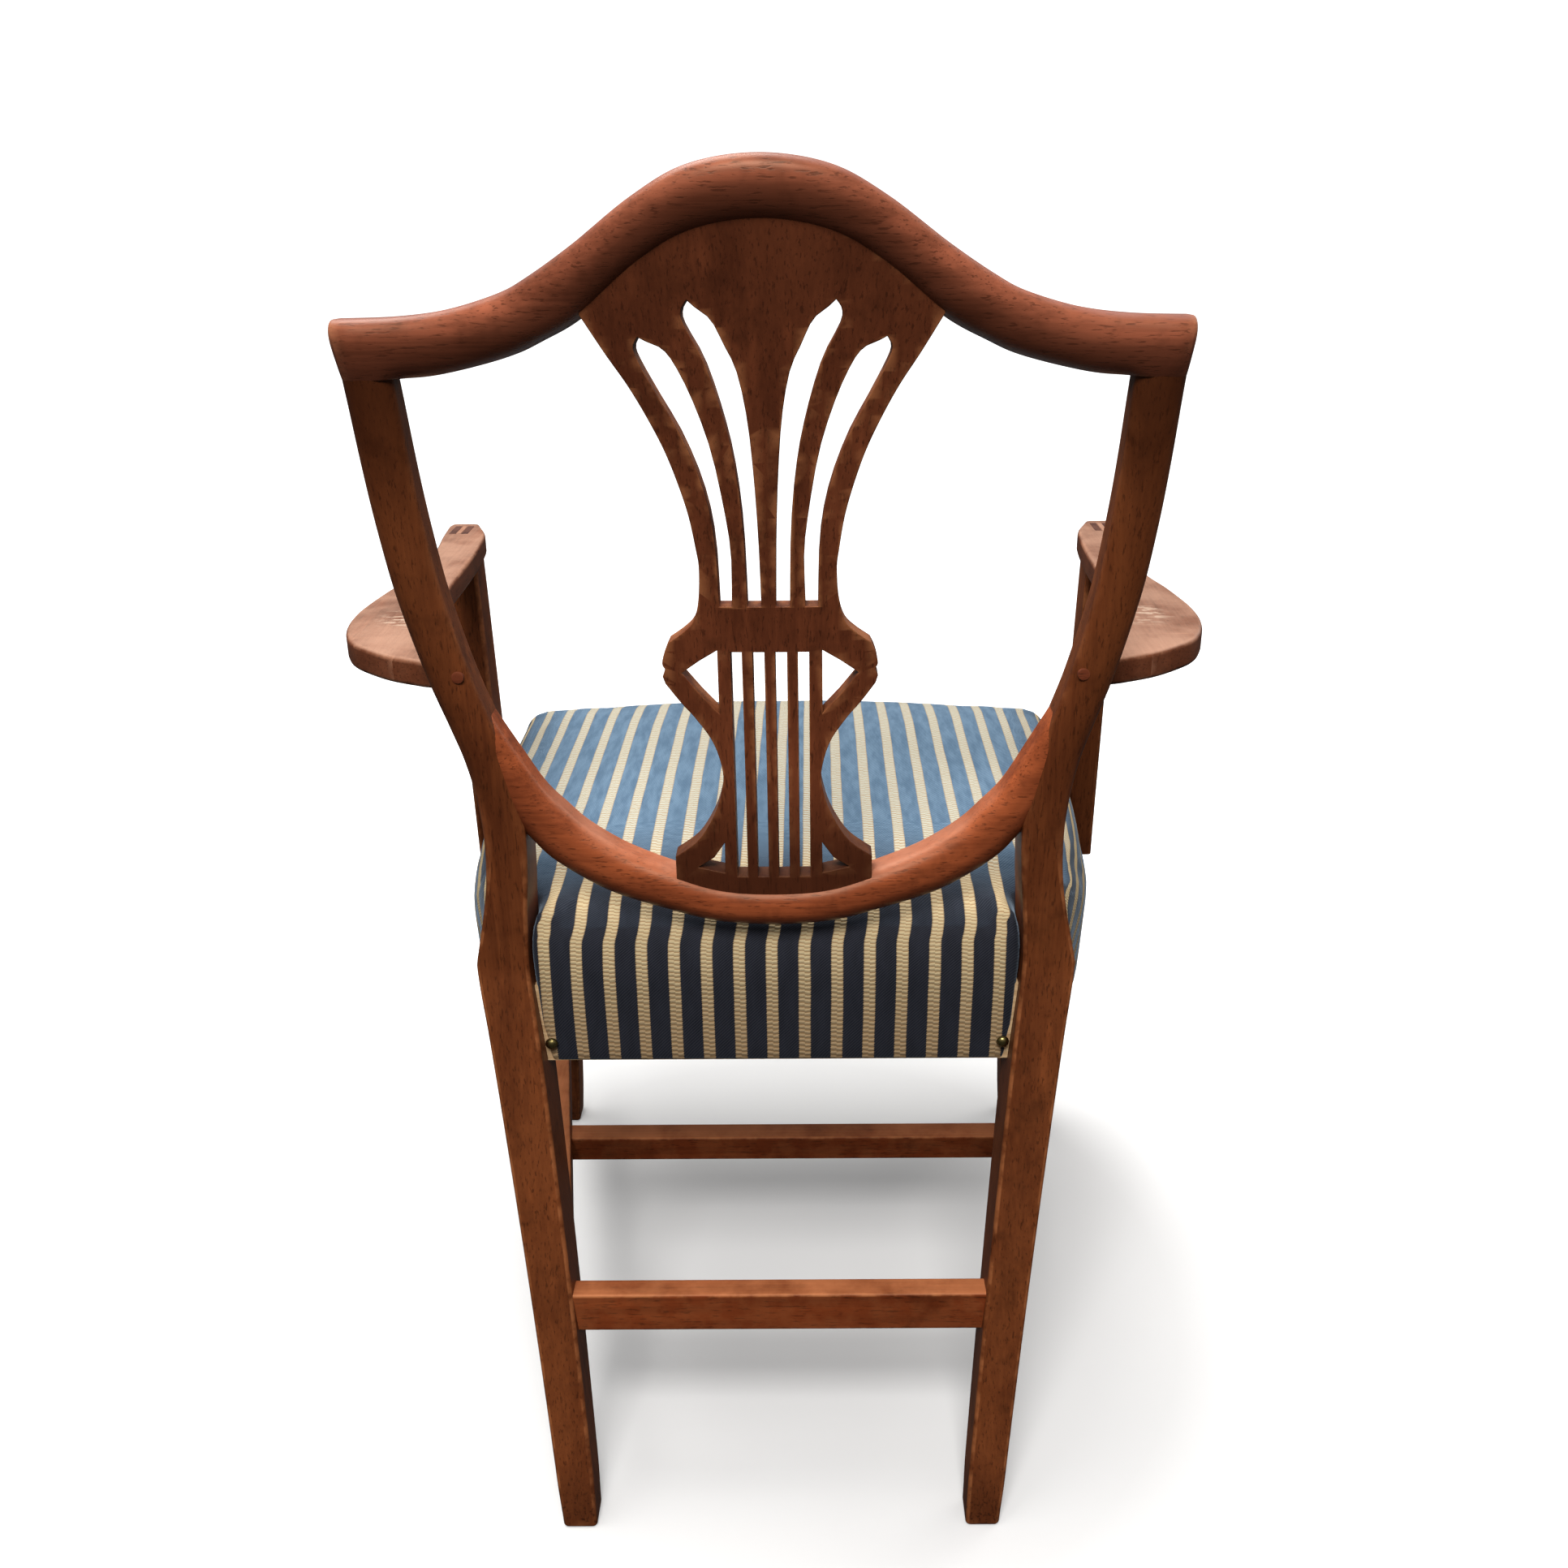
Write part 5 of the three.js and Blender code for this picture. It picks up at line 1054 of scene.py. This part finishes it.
finer.levels = finer.render_levels = 1
cushion_mesh = applied(cushion)
cushion.modifiers.clear()
cushion.data = cushion_mesh

cloth_place = []
top_shift = 0.003
leg_wrap = 0.020
side_rows = sorted((-y, x) for x, y, free in seat_half(seat_bottom)[31:] if free == 1)
for v in cushion_mesh.vertices:
    p = v.co
    edge = flowing(side_rows, -p.y) if p.y < side_start[1] - 0.02 else side_start[0]
    top = seat_bottom + edge_height(p.x, p.y)
    past = max(0, abs(p.x) - (edge - edge_roll * 0.6))
    on_side = past > 0 and front_face + 0.01 < p.y < side_start[1] + leg_wrap
    drop = max(0, top - p.z) if on_side else 0
    side_turn = ease(abs(v.normal.x), 0.55, 0.85) if drop > 0 else 0
    u = p.x + math.copysign(drop, p.x) * side_turn
    run = p.y
    if abs(v.normal.y) > 0.3:
        run = p.y + math.copysign(max(0, top - p.z), v.normal.y)
    # Painted light: 1 on the tops of the cover, which face the lamps, 0 on its shaded sides, and low along
    # the back of the top, where a painted shadow of the lower rail falls.
    from_back = rail_back + cover_out - p.y
    painted_light = min(ease(v.normal.z, 0.62, 0.96), 0.04 + 0.96 * ease(from_back, 0.020, 0.130))
    u += top_shift * ease(v.normal.z, 0.3, 0.8)
    cloth_place.append((u, run, painted_light))
cloth_attribute = cushion_mesh.attributes.new("cloth", "FLOAT_VECTOR", "POINT")
cloth_attribute.data.foreach_set("vector", [c for row in cloth_place for c in row])
cushion_mesh.shade_smooth()

stripe_pitch, stripe_shift, cream_half = 0.02317, 0.00293, 0.0042
rib_rate, twill_rate = 1770, 2610
fabric, blue_shader, s, place = finish("striped_fabric", {
    "Sheen Weight": 0.28, "Sheen Roughness": 0.35, "Sheen Tint": (0.62, 0.80, 1.0, 1),
    "Specular IOR Level": 0.15,
})
cloth_at = s.node("Attribute", {"attribute_name": "cloth"}, output="Vector")
u, run, painted_light = (cloth_at.part(axis) for axis in (0, 1, 2))
wobble = (s.noise(place, 14, 2) - 0.5) * 0.0016
turn = (u + wobble - stripe_shift) / stripe_pitch + 0.5
from_cream = (s.sum("FRACT", turn) - 0.5) * stripe_pitch
distance = s.sum("ABSOLUTE", from_cream)
rib_way = run * rib_rate + s.noise(place, 160, 2) * 4
half_step = from_cream.between(-0.0001, 0.0001) * (math.pi / 2)
ribs = s.sum("SINE", rib_way + half_step) * 0.5 + 0.5
fine_ribs = s.sum("SINE", rib_way * 2.0) * 0.5 + 0.5
frayed = distance + (fine_ribs - 0.5) * 0.0005 + (s.noise(cloth_at, 2400, 2) - 0.5) * 0.0006
cream_mask = 1 - frayed.between(cream_half - 0.00025, cream_half + 0.00025)
tan_edge = frayed.between(cream_half - 0.0009, cream_half - 0.0002)
twill = s.sum("SINE", (u - run) * twill_rate + s.noise(place, 300, 2) * 1.5) * 0.5 + 0.5
threads = s.noise(s.stretched(cloth_at, (1, 0.15, 1)), 1500, 2)
nap = s.noise(s.stretched(cloth_at, (1, 0.25, 1)), 130, 3, 0.6)
# Painted light and shade: a lit copy of the blue and of the cream for the tops, and a shaded copy for the
# sides.
blue_shaded = nap.between(0.3, 0.7).blend((0.006, 0.006, 0.008), (0.012, 0.0125, 0.017))
blue_lit = nap.between(0.3, 0.7).blend((0.078, 0.138, 0.210), (0.130, 0.210, 0.298))
blue = painted_light.blend((twill.between(0.5, 0.95) * 0.6).blend(blue_shaded, (0.038, 0.040, 0.052)), blue_lit)
blue = (twill.between(0.6, 0.1) * 0.35).blend(blue, (0.014, 0.018, 0.034))
# Painted shade: the shaded cream goes darker towards the bottom of the cover.
shade_towards_bottom = place.part(2).between(seat_bottom + 0.10, seat_bottom + 0.01)
cream_lit = (threads * 0.5).blend((0.46, 0.465, 0.39), (0.38, 0.365, 0.285))
cream_shaded = (threads * 0.5).blend((0.54, 0.43, 0.25), (0.43, 0.335, 0.185))
cream_shaded = (shade_towards_bottom * 0.8).blend(cream_shaded, (0.30, 0.20, 0.11))
rib_line = ribs.between(0.30, 0.02) * 0.85 + fine_ribs.between(0.4, 0.0) * 0.22
cream = rib_line.blend(painted_light.blend(cream_shaded, cream_lit), (0.30, 0.18, 0.08))
cream = (tan_edge * 0.6).blend(cream, (0.34, 0.22, 0.11))
surface(blue_shader, blue, 0.82 + nap * 0.12, twill * 0.6 + threads * 0.4, 0.35, 0.0005)
cream_side = s.node("BsdfPrincipled", {}, {"Specular IOR Level": 0.25})
surface(cream_side.link.node, cream, 0.8 + threads * 0.1, ribs, 0.5, 0.0009)
blue_side = Socket(s.tree, blue_shader.outputs[0])
striped = s.node("MixShader", {}, {0: cream_mask, 1: blue_side, 2: cream_side})
s.feed(s.tree.nodes["Material Output"].inputs["Surface"], striped)
cushion_mesh.materials.append(fabric)
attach(cushion, "root")
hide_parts("seat_cover", "stuffing_pad")

# The bottom cloth: a sheet of thin black cloth tacked under the rails to keep dust in. It hangs a
# little slack between them.
bottom_cloth, cloth_shader, s, place = finish("black_bottom_cloth", {"Specular IOR Level": 0.2})
weave = s.sum("SINE", place.part(0) * 5200) * s.sum("SINE", place.part(1) * 5200)
lint = s.noise(place, 420, 3).between(0.6, 0.72)
dusty = s.noise(place, 12, 3).between(0.35, 0.7)
cloth_tone = (dusty * 0.5).blend((0.012, 0.011, 0.011), (0.045, 0.041, 0.038))
cloth_tone = (lint * 0.4).blend(cloth_tone, (0.12, 0.11, 0.10))
surface(cloth_shader, cloth_tone, 0.85 + dusty * 0.1, weave, 0.4, 0.0002)
cloth_low, cloth_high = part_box("dust_cloth")
cloth_steps = 60
cloth_sag, cloth_inset = 0.003, 0.008
leg_clear = 0.0008
cloth_points = []
for k in range(cloth_steps + 1):
    y = lerp(cloth_low[1], cloth_high[1], k / cloth_steps)
    out = flowing(side_rows, -y) - cover_out - cloth_inset
    if y < front_face + front_leg_size + leg_clear:
        out = min(out, front_half - front_leg_size - leg_clear)
    if y > leg_at(seat_bottom)[3] - leg_clear:
        out = min(out, leg_at(seat_bottom)[1] - leg_clear)
    lengthwise = 2 * k / cloth_steps - 1
    for i in range(cloth_steps + 1):
        across = 2 * i / cloth_steps - 1
        slack = (1 - across ** 4) * (1 - lengthwise ** 4)
        cloth_points.append((across * out, y, cloth_high[2] - cloth_sag * slack))
row_length = cloth_steps + 1
corners = [r * row_length + i for r in range(cloth_steps) for i in range(cloth_steps)]
dust_mesh = bpy.data.meshes.new("bottom_cloth")
dust_mesh.from_pydata(cloth_points, [], [(c, c + row_length, c + row_length + 1, c + 1) for c in corners])
dust_mesh.shade_smooth()
dust_mesh.materials.append(bottom_cloth)
dust_sheet = placed("bottom_cloth", dust_mesh)
thick = dust_sheet.modifiers.new("cloth_thickness", "SOLIDIFY")
thick.thickness = 0.0008
thick.offset = -1
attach(dust_sheet, "root")
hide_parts("dust_cloth")
